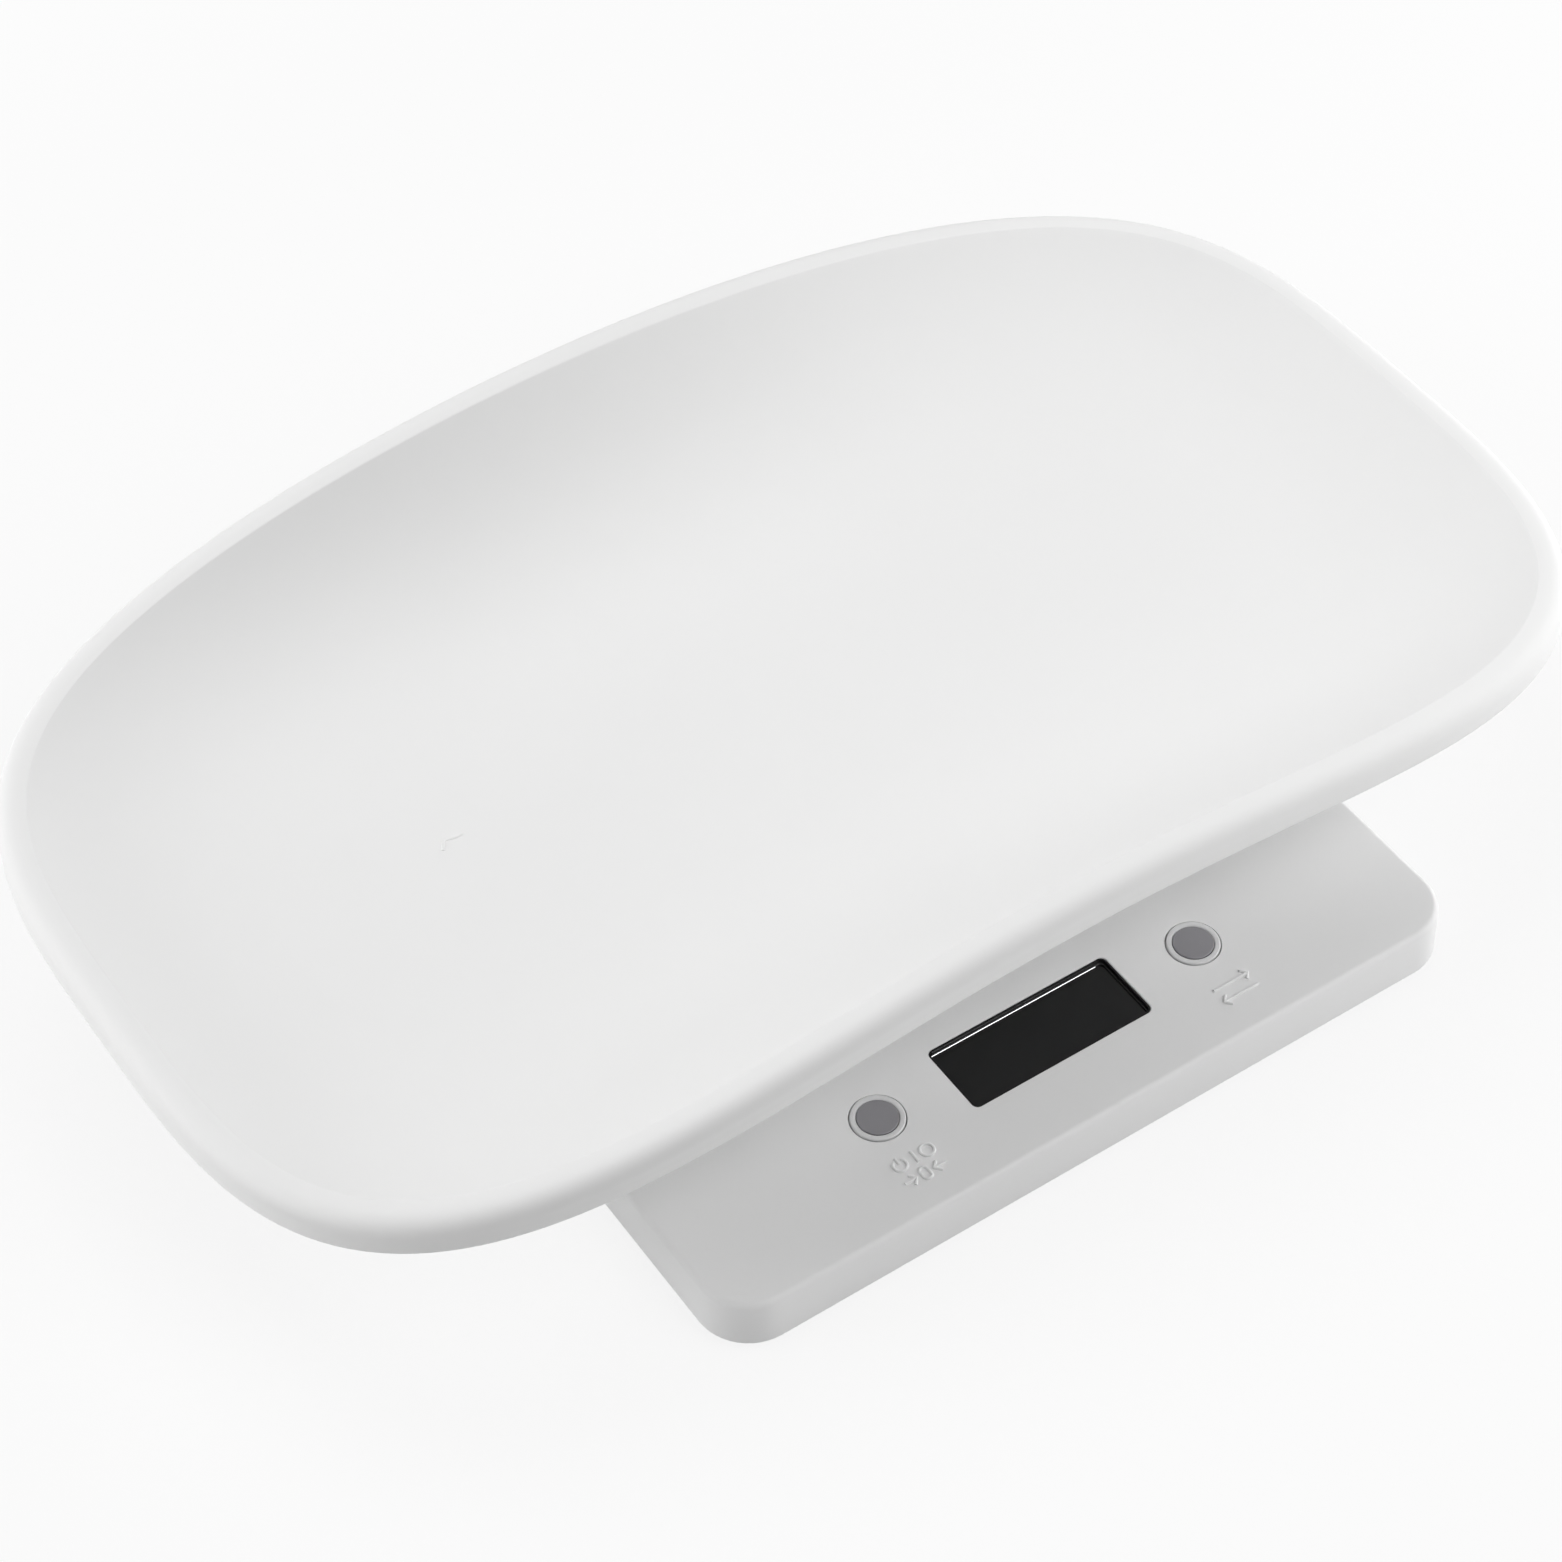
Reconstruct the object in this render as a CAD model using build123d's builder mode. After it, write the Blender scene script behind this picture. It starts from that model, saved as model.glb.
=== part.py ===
"""Digital pet scale: a low square base with a display and two buttons on its
front strip, a load cell inside, a weighing platform and a lift-off tray.

Millimetres, +Z up. The origin is on the ground, under the middle of the whole
scale's outline. The display looks up from the front of the base, which faces -Y.
"""
import os
from math import atan, copysign, cos, pi, radians, sin, sqrt

from build123d import *

os.makedirs("parts", exist_ok=True)

# Tray: outline seen from above, rim, lip and dish
tray_length = 340.0
tray_width = 200.0
tray_end_power = 4.2  # how square the outline is towards its ends
tray_side_power = 3.4  # how square the outline is towards its long sides
tray_reach = 113.3  # from the base's front wall back to the tray's middle
rim_height = 67.0  # crest of the rim at the middle of the long sides
rim_end_drop = 19.7  # how much lower the crest is at the two ends
rim_arch = 1.756  # share of the drop that follows the square of the distance
lip_round = 3.8
lip_depth = 8.65
lip_wall = 2.2
lip_edge_round = 1.5  # on the lip's lower outer edge
crest_round = 3.5  # roll from the crest down into the dish's wall
tray_wall = 2.6
floor_height = 36.0
floor_length = 240.0
floor_width = 50.0
dish_power = 3.2  # how late the wall rises between the floor and the crest
tray_ring_count = 48
peg_diameter = 6.0
peg_length = 5.0
peg_spacing_x = 104.0
peg_spacing_y = 62.0
peg_clearance = 0.4  # all round each peg

# Base: outer shell
base_width = 189.0
base_depth = 196.0
base_height = 12.0
base_corner = 12.0
base_taper = 2.4  # degrees
base_lift = 2.0  # ground to the shell's lower edge
shell_wall = 1.8
deck_edge_round = 1.5
plinth_length = 124.0
plinth_width = 104.0
plinth_height = 6.0
plinth_corner = 10.0

# Base: bottom plate
plate_gap = 0.25
plate_recess = 0.2  # how far the plate lies inside the shell's lower edge
plate_thickness = 2.0
plate_rim_height = 2.6
plate_rim_wall = 1.4
rib_wall = 1.4
rib_height = 1.6
foot_diameter = 15.6
foot_pocket_depth = 0.8
foot_pocket_gap = 0.2
foot_edge_round = 0.8
foot_inset_x = 16.0
foot_inset_y = 17.0

# Case screws, four
case_screw_inset_x = 26.0
case_screw_inset_y = 34.0
case_screw_diameter = 2.9
case_screw_head = 5.6
case_screw_head_height = 1.8
case_screw_length = 7.0
case_boss_diameter = 7.0
case_pillar_height = 2.0
screw_clearance = 0.15

# Load cell, its plates and its screws
cell_length = 80.0
cell_section = 12.7
cell_hole_near = 5.0
cell_hole_far = 20.0
cell_bore_diameter = 9.4
cell_bore_spacing = 14.0
cell_slot_height = 3.0
spacer_thickness = 1.0
spacer_length = 28.0
cell_boss_height = 1.2
cell_boss_margin = 2.0
cell_screw_diameter = 5.0
cell_screw_head = 8.0
cell_screw_head_height = 1.4
cell_screw_reach = 8.0  # into the cell
gauge_coat_length = 22.0
gauge_coat_width = 10.6
gauge_coat_thickness = 0.8

# Weighing platform
platform_length = 140.0
platform_width = 120.0
platform_corner = 14.0
platform_wall = 2.2
platform_edge_round = 1.6
platform_skirt_gap = 2.4  # skirt's lower edge above the deck
platform_rib_depth = 7.0
platform_rib_wall = 1.6
platform_boss_length = 32.0
platform_boss_width = 18.0
bracket_thickness = 1.5
bracket_length = 28.0
platform_travel = 0.5
platform_stop_gap = 0.1  # more than the travel, above the plinth
platform_stop_diameter = 6.0
platform_stop_inset = 12.0
platform_screw_diameter = 4.0
platform_screw_head = 7.0
platform_screw_head_height = 2.6
platform_screw_seat = 6.0  # plastic under the head
platform_screw_reach = 8.0  # into the cell
cell_opening_gap = 5.0  # round the cell, in the plinth's top

# Display
window_length = 46.2
window_width = 17.7
window_corner = 1.5
window_middle = 25.4  # from the base's front wall
window_gap = 0.1
window_edge_round = 0.25
window_sink = 0.15
window_rim = 0.35
window_pocket_depth = 1.2
window_floor_round = 0.3
window_flange = 2.6
window_flange_thickness = 1.1
lcd_length = 48.0
lcd_width = 20.0
lcd_thickness = 2.0
lcd_step = 2.0
lcd_frame_wall = 2.4
lcd_frame_gap = 0.2
contact_strip_width = 2.0

# Circuit board
board_length = 106.0
board_width = 29.0
board_thickness = 1.2
board_drop = 4.4  # deck's underside to the board's upper face
board_screw_inset = 4.0
board_screw_diameter = 2.0
board_screw_head = 4.0
board_screw_head_height = 1.1
board_screw_length = 4.0
board_boss_diameter = 5.4
chip_size = 12.0
chip_height = 1.1

# Buttons and their switches
button_spacing = 82.2
button_middle = 26.0  # from the base's front wall
button_diameter = 11.7
button_gap = 0.25
button_hole_round = 0.15
button_proud = 0.3
button_flange = 1.1
button_flange_thickness = 0.8
button_flange_gap = 0.2
button_stroke = 0.5
button_edge_round = 0.35
inlay_diameter = 8.9
inlay_gap = 0.1
inlay_thickness = 1.0
inlay_proud = 0.1
inlay_edge_round = 0.2
switch_size = 6.0
switch_height = 2.5
plunger_diameter = 3.2
plunger_gap = 0.2
plunger_engagement = 1.1

# Battery bay, cells and door
cell_aaa_diameter = 10.5
cell_aaa_length = 44.5
cell_nub_diameter = 3.8
cell_nub_length = 0.8
battery_gap = 0.5
bay_middle = 140.5  # from the base's front wall
bay_length = 50.5
bay_side_gap = 0.75
bay_wall = 1.6
bay_head_gap = 0.4
door_thickness = 1.7
door_gap = 0.25
door_tab_width = 8.0
door_tab_spacing = 30.0
door_tab_reach = 1.8
door_tab_thickness = 1.2
door_tab_root = 1.5
door_tab_lift = 0.3
door_latch_width = 12.0
door_latch_inset = 0.5
door_latch_height = 1.0
door_notch_diameter = 10.0
contact_plate_thickness = 0.4
contact_plate_width = 9.0
contact_plate_height = 9.0
spring_wire = 0.7
spring_diameter = 6.4
spring_turn_count = 4
spring_wire_sides = 8

# Wires
wire_diameter = 1.0
wire_pitch = 1.4
wire_bend = 1.8
wire_clearance = 0.05
wire_lap = 3.0  # length that lies on the board
cell_wire_count = 4
cell_wires_start = -6.0
cell_wires_end = -31.0
cell_wires_drop = 2.5  # from the cell's side to where they go down
battery_wires_lane = 3.0  # from the cell's fixed end to the nearer wire

# Levels above the ground
shell_foot = base_lift
deck_top = base_lift + base_height
deck_under = deck_top - shell_wall
plinth_top = deck_top + plinth_height
plate_under = shell_foot + plate_recess
plate_top = plate_under + plate_thickness
pillar_top = plate_top + case_pillar_height
cell_seat = plate_top + cell_boss_height
cell_under = cell_seat + spacer_thickness
cell_top = cell_under + cell_section
bracket_top = cell_top + bracket_thickness
platform_top = floor_height - tray_wall
platform_under = platform_top - platform_wall
platform_skirt = deck_top + platform_skirt_gap
board_top = deck_under - board_drop
board_under = board_top - board_thickness
window_flange_under = deck_under - window_flange_thickness
battery_axis = plate_top + bay_head_gap / 2 + cell_aaa_diameter / 2
bay_ceiling = battery_axis + cell_aaa_diameter / 2 + bay_head_gap
wire_level = board_top + wire_diameter / 2 + wire_clearance

# Places along Y, the whole outline centred on the origin
overall_depth = tray_reach + tray_width / 2
front_y = -overall_depth / 2
base_y = front_y + base_depth / 2
load_y = front_y + tray_reach
display_y = front_y + window_middle
buttons_y = front_y + button_middle
bay_y = front_y + bay_middle

# Places that several pieces share
cell_fixed_x = -(cell_length - cell_hole_near - cell_hole_far) / 2
cell_free_x = -cell_fixed_x
cell_hole_pitch = cell_hole_far - cell_hole_near
battery_pitch = cell_aaa_diameter + battery_gap
bay_width = battery_pitch + cell_aaa_diameter + 2 * bay_side_gap
foot_places = {
    "front_left": (-base_width / 2 + foot_inset_x, front_y + foot_inset_y),
    "front_right": (base_width / 2 - foot_inset_x, front_y + foot_inset_y),
    "rear_left": (-base_width / 2 + foot_inset_x, front_y + base_depth - foot_inset_y),
    "rear_right": (base_width / 2 - foot_inset_x, front_y + base_depth - foot_inset_y),
}
case_screw_places = [
    (side * (base_width / 2 - case_screw_inset_x), base_y + end * (base_depth / 2 - case_screw_inset_y))
    for side in (-1, 1)
    for end in (-1, 1)
]
board_screw_places = [
    (side * (board_length / 2 - board_screw_inset), display_y + end * (board_width / 2 - board_screw_inset))
    for side in (-1, 1)
    for end in (-1, 1)
]
cell_screw_places = [(cell_fixed_x + side * cell_hole_pitch / 2, load_y) for side in (-1, 1)]
platform_screw_places = [(cell_free_x + side * cell_hole_pitch / 2, load_y) for side in (-1, 1)]


def outline_point(angle, half_length, half_width):
    """A point of a rounded, almost rectangular outline: a superellipse."""
    along = copysign(abs(cos(angle)) ** (2 / tray_end_power), cos(angle))
    across = copysign(abs(sin(angle)) ** (2 / tray_side_power), sin(angle))
    return half_length * along, half_width * across


def outline_normal(x, y, half_length, half_width):
    """The outward direction of the superellipse at one of its points."""
    slope_x = tray_end_power * abs(x / half_length) ** (tray_end_power - 1) / half_length
    slope_y = tray_side_power * abs(y / half_width) ** (tray_side_power - 1) / half_width
    size = sqrt(slope_x**2 + slope_y**2)
    return copysign(slope_x / size, x), copysign(slope_y / size, y)


def even_angles(count, steps=1600):
    """Angles whose outline points lie evenly along the tray's outer edge."""
    edge = [outline_point(2 * pi * i / steps, tray_length / 2, tray_width / 2) for i in range(steps + 1)]
    run = [0.0]
    for (x0, y0), (x1, y1) in zip(edge, edge[1:]):
        run.append(run[-1] + sqrt((x1 - x0) ** 2 + (y1 - y0) ** 2))
    angles = []
    step = 0
    for k in range(count):
        target = run[-1] * k / count
        while run[step + 1] < target:
            step += 1
        angles.append(2 * pi * (step + (target - run[step]) / (run[step + 1] - run[step])) / steps)
    return angles


def crest_height(x):
    """Height of the rim's crest: highest at the middle of the tray's length."""
    share = min(1.0, abs(x) / (tray_length / 2))
    return rim_height - rim_end_drop * (rim_arch * share**2 - (rim_arch - 1) * share**4)


ring_angles = even_angles(tray_ring_count)


def lip_point(angle, inset, drop):
    """A point inset from the tray's edge and below the crest beside it."""
    x, y = outline_point(angle, tray_length / 2, tray_width / 2)
    out_x, out_y = outline_normal(x, y, tray_length / 2, tray_width / 2)
    return x - inset * out_x, load_y + y - inset * out_y, crest_height(x) - drop


def wall_section(angle, slope):
    """From the floor's edge to the foot of a crest that rolls down to a slope: start, run and lift."""
    inset = lip_round + crest_round * sin(slope)
    top_x, top_y, top_z = lip_point(angle, inset, crest_round * (1 - cos(slope)))
    floor_x, floor_y = outline_point(angle, floor_length / 2, floor_width / 2)
    return floor_x, load_y + floor_y, top_x - floor_x, top_y - load_y - floor_y, top_z - floor_height


def wall_slope(angle):
    """The wall's slope at its top, which the crest's roll meets: found by repeated trial."""
    slope = 0.0
    for trial in range(5):
        start_x, start_y, run_x, run_y, lift = wall_section(angle, slope)
        slope = atan(dish_power * lift / sqrt(run_x**2 + run_y**2))
    return slope


def crest_point(angle, turn, depth):
    """A point of the crest's inner roll: turn runs from 0 at the crest to 1 at the wall's top."""
    slope = wall_slope(angle) * turn
    reach = crest_round - depth
    return lip_point(angle, lip_round + reach * sin(slope), crest_round - reach * cos(slope))


def dish_point(angle, rise, depth):
    """A point of the dish: rise runs from 0 at the floor's edge to 1 at the wall's top."""
    start_x, start_y, run_x, run_y, lift = wall_section(angle, wall_slope(angle))
    run = sqrt(run_x**2 + run_y**2)
    slope = atan(dish_power * lift * rise ** (dish_power - 1) / run)
    out = rise + depth * sin(slope) / run
    height = floor_height + lift * rise**dish_power - depth * cos(slope)
    return start_x + run_x * out, start_y + run_y * out, height


def ring(point, first, second):
    """A closed smooth wire round the tray through points of one kind."""
    with BuildLine() as line:
        Spline(*[point(angle, first, second) for angle in ring_angles], periodic=True)
    return line.wire()


def level(y, z):
    """A horizontal work plane at a height, over a place along the scale's depth."""
    return Plane((0, y, z))


# Tray: one moulding, a shallow dish with a rounded, turned-down lip
dish_steps = [0.0, 0.3, 0.5, 0.65, 0.78, 0.9]
crest_turns = [1.0, 0.6, 0.3]
lip_arc = [radians(90), radians(60), radians(35), radians(0)]
edge_arc = [radians(0), radians(30), radians(60), radians(90)]
inside_corner = lip_round - lip_wall
inner_rings = [ring(dish_point, rise, 0.0) for rise in dish_steps]
inner_rings += [ring(crest_point, turn, 0.0) for turn in crest_turns]
crest_rings = [ring(lip_point, lip_round * (1 - cos(a)), lip_round * (1 - sin(a))) for a in lip_arc]
edge_top = lip_depth - lip_edge_round
edge_rings = [ring(lip_point, lip_edge_round * (1 - cos(a)), edge_top + lip_edge_round * sin(a)) for a in edge_arc]
skirt_rings = [
    ring(lip_point, lip_wall, lip_depth),
    ring(lip_point, lip_wall, tray_wall + inside_corner),
    ring(lip_point, lip_round, tray_wall),
]
under_rings = [ring(crest_point, turn, tray_wall) for turn in reversed(crest_turns)]
under_rings += [ring(dish_point, rise, tray_wall) for rise in reversed(dish_steps)]
with BuildPart() as tray:
    add(Solid.make_loft(inner_rings + crest_rings + edge_rings + skirt_rings + under_rings, ruled=True))
    with BuildSketch(level(load_y, platform_top + tray_wall / 2)):
        with GridLocations(peg_spacing_x, peg_spacing_y, 2, 2):
            Circle(peg_diameter / 2)
    extrude(amount=-peg_length - tray_wall / 2)
    chamfer(tray.edges().group_by(Axis.Z)[0], peg_diameter / 10)
tray.part.label = "tray"
export_step(tray.part, "parts/tray.step")

# Weighing platform: a hollow plate with a skirt, ribs, a boss over the cell and four stops
stop_bottom = plinth_top + platform_travel + platform_stop_gap
with BuildPart() as platform:
    with BuildSketch(level(load_y, platform_skirt)):
        RectangleRounded(platform_length, platform_width, platform_corner)
    extrude(amount=platform_top - platform_skirt)
    fillet(platform.faces().sort_by(Axis.Z)[-1].edges(), platform_edge_round)
    with BuildSketch(level(load_y, platform_skirt)):
        RectangleRounded(
            platform_length - 2 * platform_wall,
            platform_width - 2 * platform_wall,
            platform_corner - platform_wall,
        )
    extrude(amount=platform_under - platform_skirt, mode=Mode.SUBTRACT)
    with BuildSketch(level(load_y, platform_under)):
        with GridLocations(0, platform_boss_width - platform_rib_wall, 1, 2):
            Rectangle(platform_length - platform_wall, platform_rib_wall)
        with GridLocations(platform_boss_length + platform_rib_wall * 2, 0, 3, 1):
            Rectangle(platform_rib_wall, platform_width - platform_wall)
    extrude(amount=-platform_rib_depth)
    with BuildSketch(level(load_y, platform_under)):
        with Locations((cell_free_x, 0)):
            RectangleRounded(platform_boss_length, platform_boss_width, platform_rib_wall)
    extrude(amount=bracket_top - platform_under)
    with BuildSketch(level(load_y, platform_under)):
        with GridLocations(
            plinth_length - 2 * platform_stop_inset,
            plinth_width - 2 * platform_stop_inset,
            2,
            2,
        ):
            Circle(platform_stop_diameter / 2)
    extrude(amount=stop_bottom - platform_under)
    with BuildSketch(Plane.XY.offset(bracket_top)):
        with Locations(platform_screw_places):
            Circle(platform_screw_diameter / 2 + screw_clearance)
    extrude(amount=platform_top - bracket_top, mode=Mode.SUBTRACT)
    with BuildSketch(Plane.XY.offset(bracket_top + platform_screw_seat)):
        with Locations(platform_screw_places):
            Circle(platform_screw_head / 2 + screw_clearance)
    extrude(amount=platform_top - bracket_top, mode=Mode.SUBTRACT)
    with BuildSketch(level(load_y, platform_under)):
        with GridLocations(peg_spacing_x, peg_spacing_y, 2, 2):
            Circle(peg_diameter / 2 + peg_clearance)
    extrude(amount=platform_wall, mode=Mode.SUBTRACT)
platform.part.label = "platform"
export_step(platform.part, "parts/platform.step")

# Steel bracket between the platform's boss and the cell's free end
with BuildPart() as platform_bracket:
    with BuildSketch(Plane.XY.offset(cell_top)):
        with Locations((cell_free_x, load_y)):
            RectangleRounded(bracket_length, cell_section, 1.0)
        with Locations(platform_screw_places):
            Circle(platform_screw_diameter / 2 + screw_clearance, mode=Mode.SUBTRACT)
    extrude(amount=bracket_thickness)
platform_bracket.part.label = "platform_bracket"
export_step(platform_bracket.part, "parts/platform_bracket.step")

# Two screws that hold the platform to the cell
platform_head_under = bracket_top + platform_screw_seat
with BuildPart() as platform_screws:
    with BuildSketch(Plane.XY.offset(cell_top - platform_screw_reach)):
        with Locations(platform_screw_places):
            Circle(platform_screw_diameter / 2)
    extrude(amount=platform_head_under - cell_top + platform_screw_reach)
    with BuildSketch(Plane.XY.offset(platform_head_under)):
        with Locations(platform_screw_places):
            Circle(platform_screw_head / 2)
    extrude(amount=platform_screw_head_height)
    with BuildSketch(Plane.XY.offset(platform_head_under + platform_screw_head_height)):
        with Locations(platform_screw_places):
            RegularPolygon(platform_screw_diameter * 0.4, 6)
    extrude(amount=-platform_screw_head_height / 2, mode=Mode.SUBTRACT)
platform_screws.part.label = "platform_screws"
export_step(platform_screws.part, "parts/platform_screws.step")

# Load cell: a square bar, thinned in the middle by two bores and a slot
with BuildPart() as load_cell:
    with BuildSketch(level(load_y, cell_under)):
        Rectangle(cell_length, cell_section)
    extrude(amount=cell_section)
    cell_side = Plane((0, load_y, cell_under + cell_section / 2), x_dir=(1, 0, 0), z_dir=(0, -1, 0))
    with BuildSketch(cell_side):
        with GridLocations(cell_bore_spacing, 0, 2, 1):
            Circle(cell_bore_diameter / 2)
        Rectangle(cell_bore_spacing, cell_slot_height)
    extrude(amount=cell_section / 2, both=True, mode=Mode.SUBTRACT)
    with BuildSketch(Plane.XY.offset(cell_under)):
        with Locations(cell_screw_places):
            Circle(cell_screw_diameter / 2 + screw_clearance)
        with Locations(platform_screw_places):
            Circle(platform_screw_diameter / 2 + screw_clearance)
    extrude(amount=cell_section, mode=Mode.SUBTRACT)
load_cell.part.label = "load_cell"
export_step(load_cell.part, "parts/load_cell.step")

# Coating over the strain gauges, above and below the thin middle
with BuildPart() as gauge_coating:
    for face_z, grow in ((cell_top, gauge_coat_thickness), (cell_under, -gauge_coat_thickness)):
        with BuildSketch(level(load_y, face_z)):
            RectangleRounded(gauge_coat_length, gauge_coat_width, gauge_coat_width / 4)
        extrude(amount=grow)
gauge_coating.part.label = "gauge_coating"
export_step(gauge_coating.part, "parts/gauge_coating.step")

# Spacer under the cell's fixed end
with BuildPart() as cell_spacer:
    with BuildSketch(Plane.XY.offset(cell_seat)):
        with Locations((cell_fixed_x, load_y)):
            RectangleRounded(spacer_length, cell_section, 1.0)
        with Locations(cell_screw_places):
            Circle(cell_screw_diameter / 2 + screw_clearance, mode=Mode.SUBTRACT)
    extrude(amount=spacer_thickness)
cell_spacer.part.label = "cell_spacer"
export_step(cell_spacer.part, "parts/cell_spacer.step")

# Two screws that hold the cell to the bottom plate, from below
cell_head_top = cell_seat - cell_boss_height
with BuildPart() as cell_screws:
    with BuildSketch(Plane.XY.offset(cell_head_top - cell_screw_head_height)):
        with Locations(cell_screw_places):
            Circle(cell_screw_head / 2)
    extrude(amount=cell_screw_head_height)
    with BuildSketch(Plane.XY.offset(cell_head_top)):
        with Locations(cell_screw_places):
            Circle(cell_screw_diameter / 2)
    extrude(amount=cell_under + cell_screw_reach - cell_head_top)
    with BuildSketch(Plane.XY.offset(cell_head_top - cell_screw_head_height)):
        with Locations(cell_screw_places):
            RegularPolygon(cell_screw_diameter * 0.4, 6)
    extrude(amount=cell_screw_head_height / 2, mode=Mode.SUBTRACT)
cell_screws.part.label = "cell_screws"
export_step(cell_screws.part, "parts/cell_screws.step")

# Base shell: tapered walls, a deck and a plinth under the platform
with BuildPart() as base_top:
    with BuildSketch(level(base_y, shell_foot)):
        RectangleRounded(base_width, base_depth, base_corner)
    extrude(amount=base_height, taper=base_taper)
    fillet(base_top.faces().sort_by(Axis.Z)[-1].edges(), deck_edge_round)
    with BuildSketch(level(load_y, deck_under)):
        RectangleRounded(plinth_length, plinth_width, plinth_corner)
    extrude(amount=plinth_top - deck_under)
    fillet(base_top.faces().sort_by(Axis.Z)[-1].edges(), deck_edge_round)
    with BuildSketch(level(base_y, shell_foot)):
        RectangleRounded(base_width - 2 * shell_wall, base_depth - 2 * shell_wall, base_corner - shell_wall)
    extrude(amount=deck_under - shell_foot, taper=base_taper, mode=Mode.SUBTRACT)
    with BuildSketch(level(load_y, shell_foot)):
        RectangleRounded(
            plinth_length - 2 * shell_wall,
            plinth_width - 2 * shell_wall,
            plinth_corner - shell_wall,
        )
    extrude(amount=plinth_top - shell_wall - shell_foot, mode=Mode.SUBTRACT)
    with BuildSketch(level(load_y, plinth_top)):
        RectangleRounded(cell_length + 2 * cell_opening_gap, cell_section + 2 * cell_opening_gap, cell_opening_gap)
    extrude(amount=-2 * shell_wall, mode=Mode.SUBTRACT)
    with BuildSketch(level(display_y, deck_top)):
        RectangleRounded(window_length, window_width, window_corner)
    extrude(amount=-2 * shell_wall, mode=Mode.SUBTRACT)
    fillet(base_top.edges(Select.LAST).group_by(Axis.Z)[-1], window_edge_round)
    with BuildSketch(level(buttons_y, deck_top)):
        with GridLocations(button_spacing, 0, 2, 1):
            Circle(button_diameter / 2 + button_gap)
    extrude(amount=-2 * shell_wall, mode=Mode.SUBTRACT)
    fillet(base_top.edges(Select.LAST).group_by(Axis.Z)[-1], button_hole_round)
    with BuildSketch(Plane.XY.offset(pillar_top)):
        with Locations(case_screw_places):
            Circle(case_boss_diameter / 2)
            Circle(case_screw_diameter / 2 + screw_clearance, mode=Mode.SUBTRACT)
    extrude(amount=deck_under - pillar_top)
    with BuildSketch(Plane.XY.offset(board_top)):
        with Locations(board_screw_places):
            Circle(board_boss_diameter / 2)
            Circle(board_screw_diameter / 2 + screw_clearance, mode=Mode.SUBTRACT)
    extrude(amount=deck_under - board_top)
base_top.part.label = "base_top"
export_step(base_top.part, "parts/base_top.step")

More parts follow.
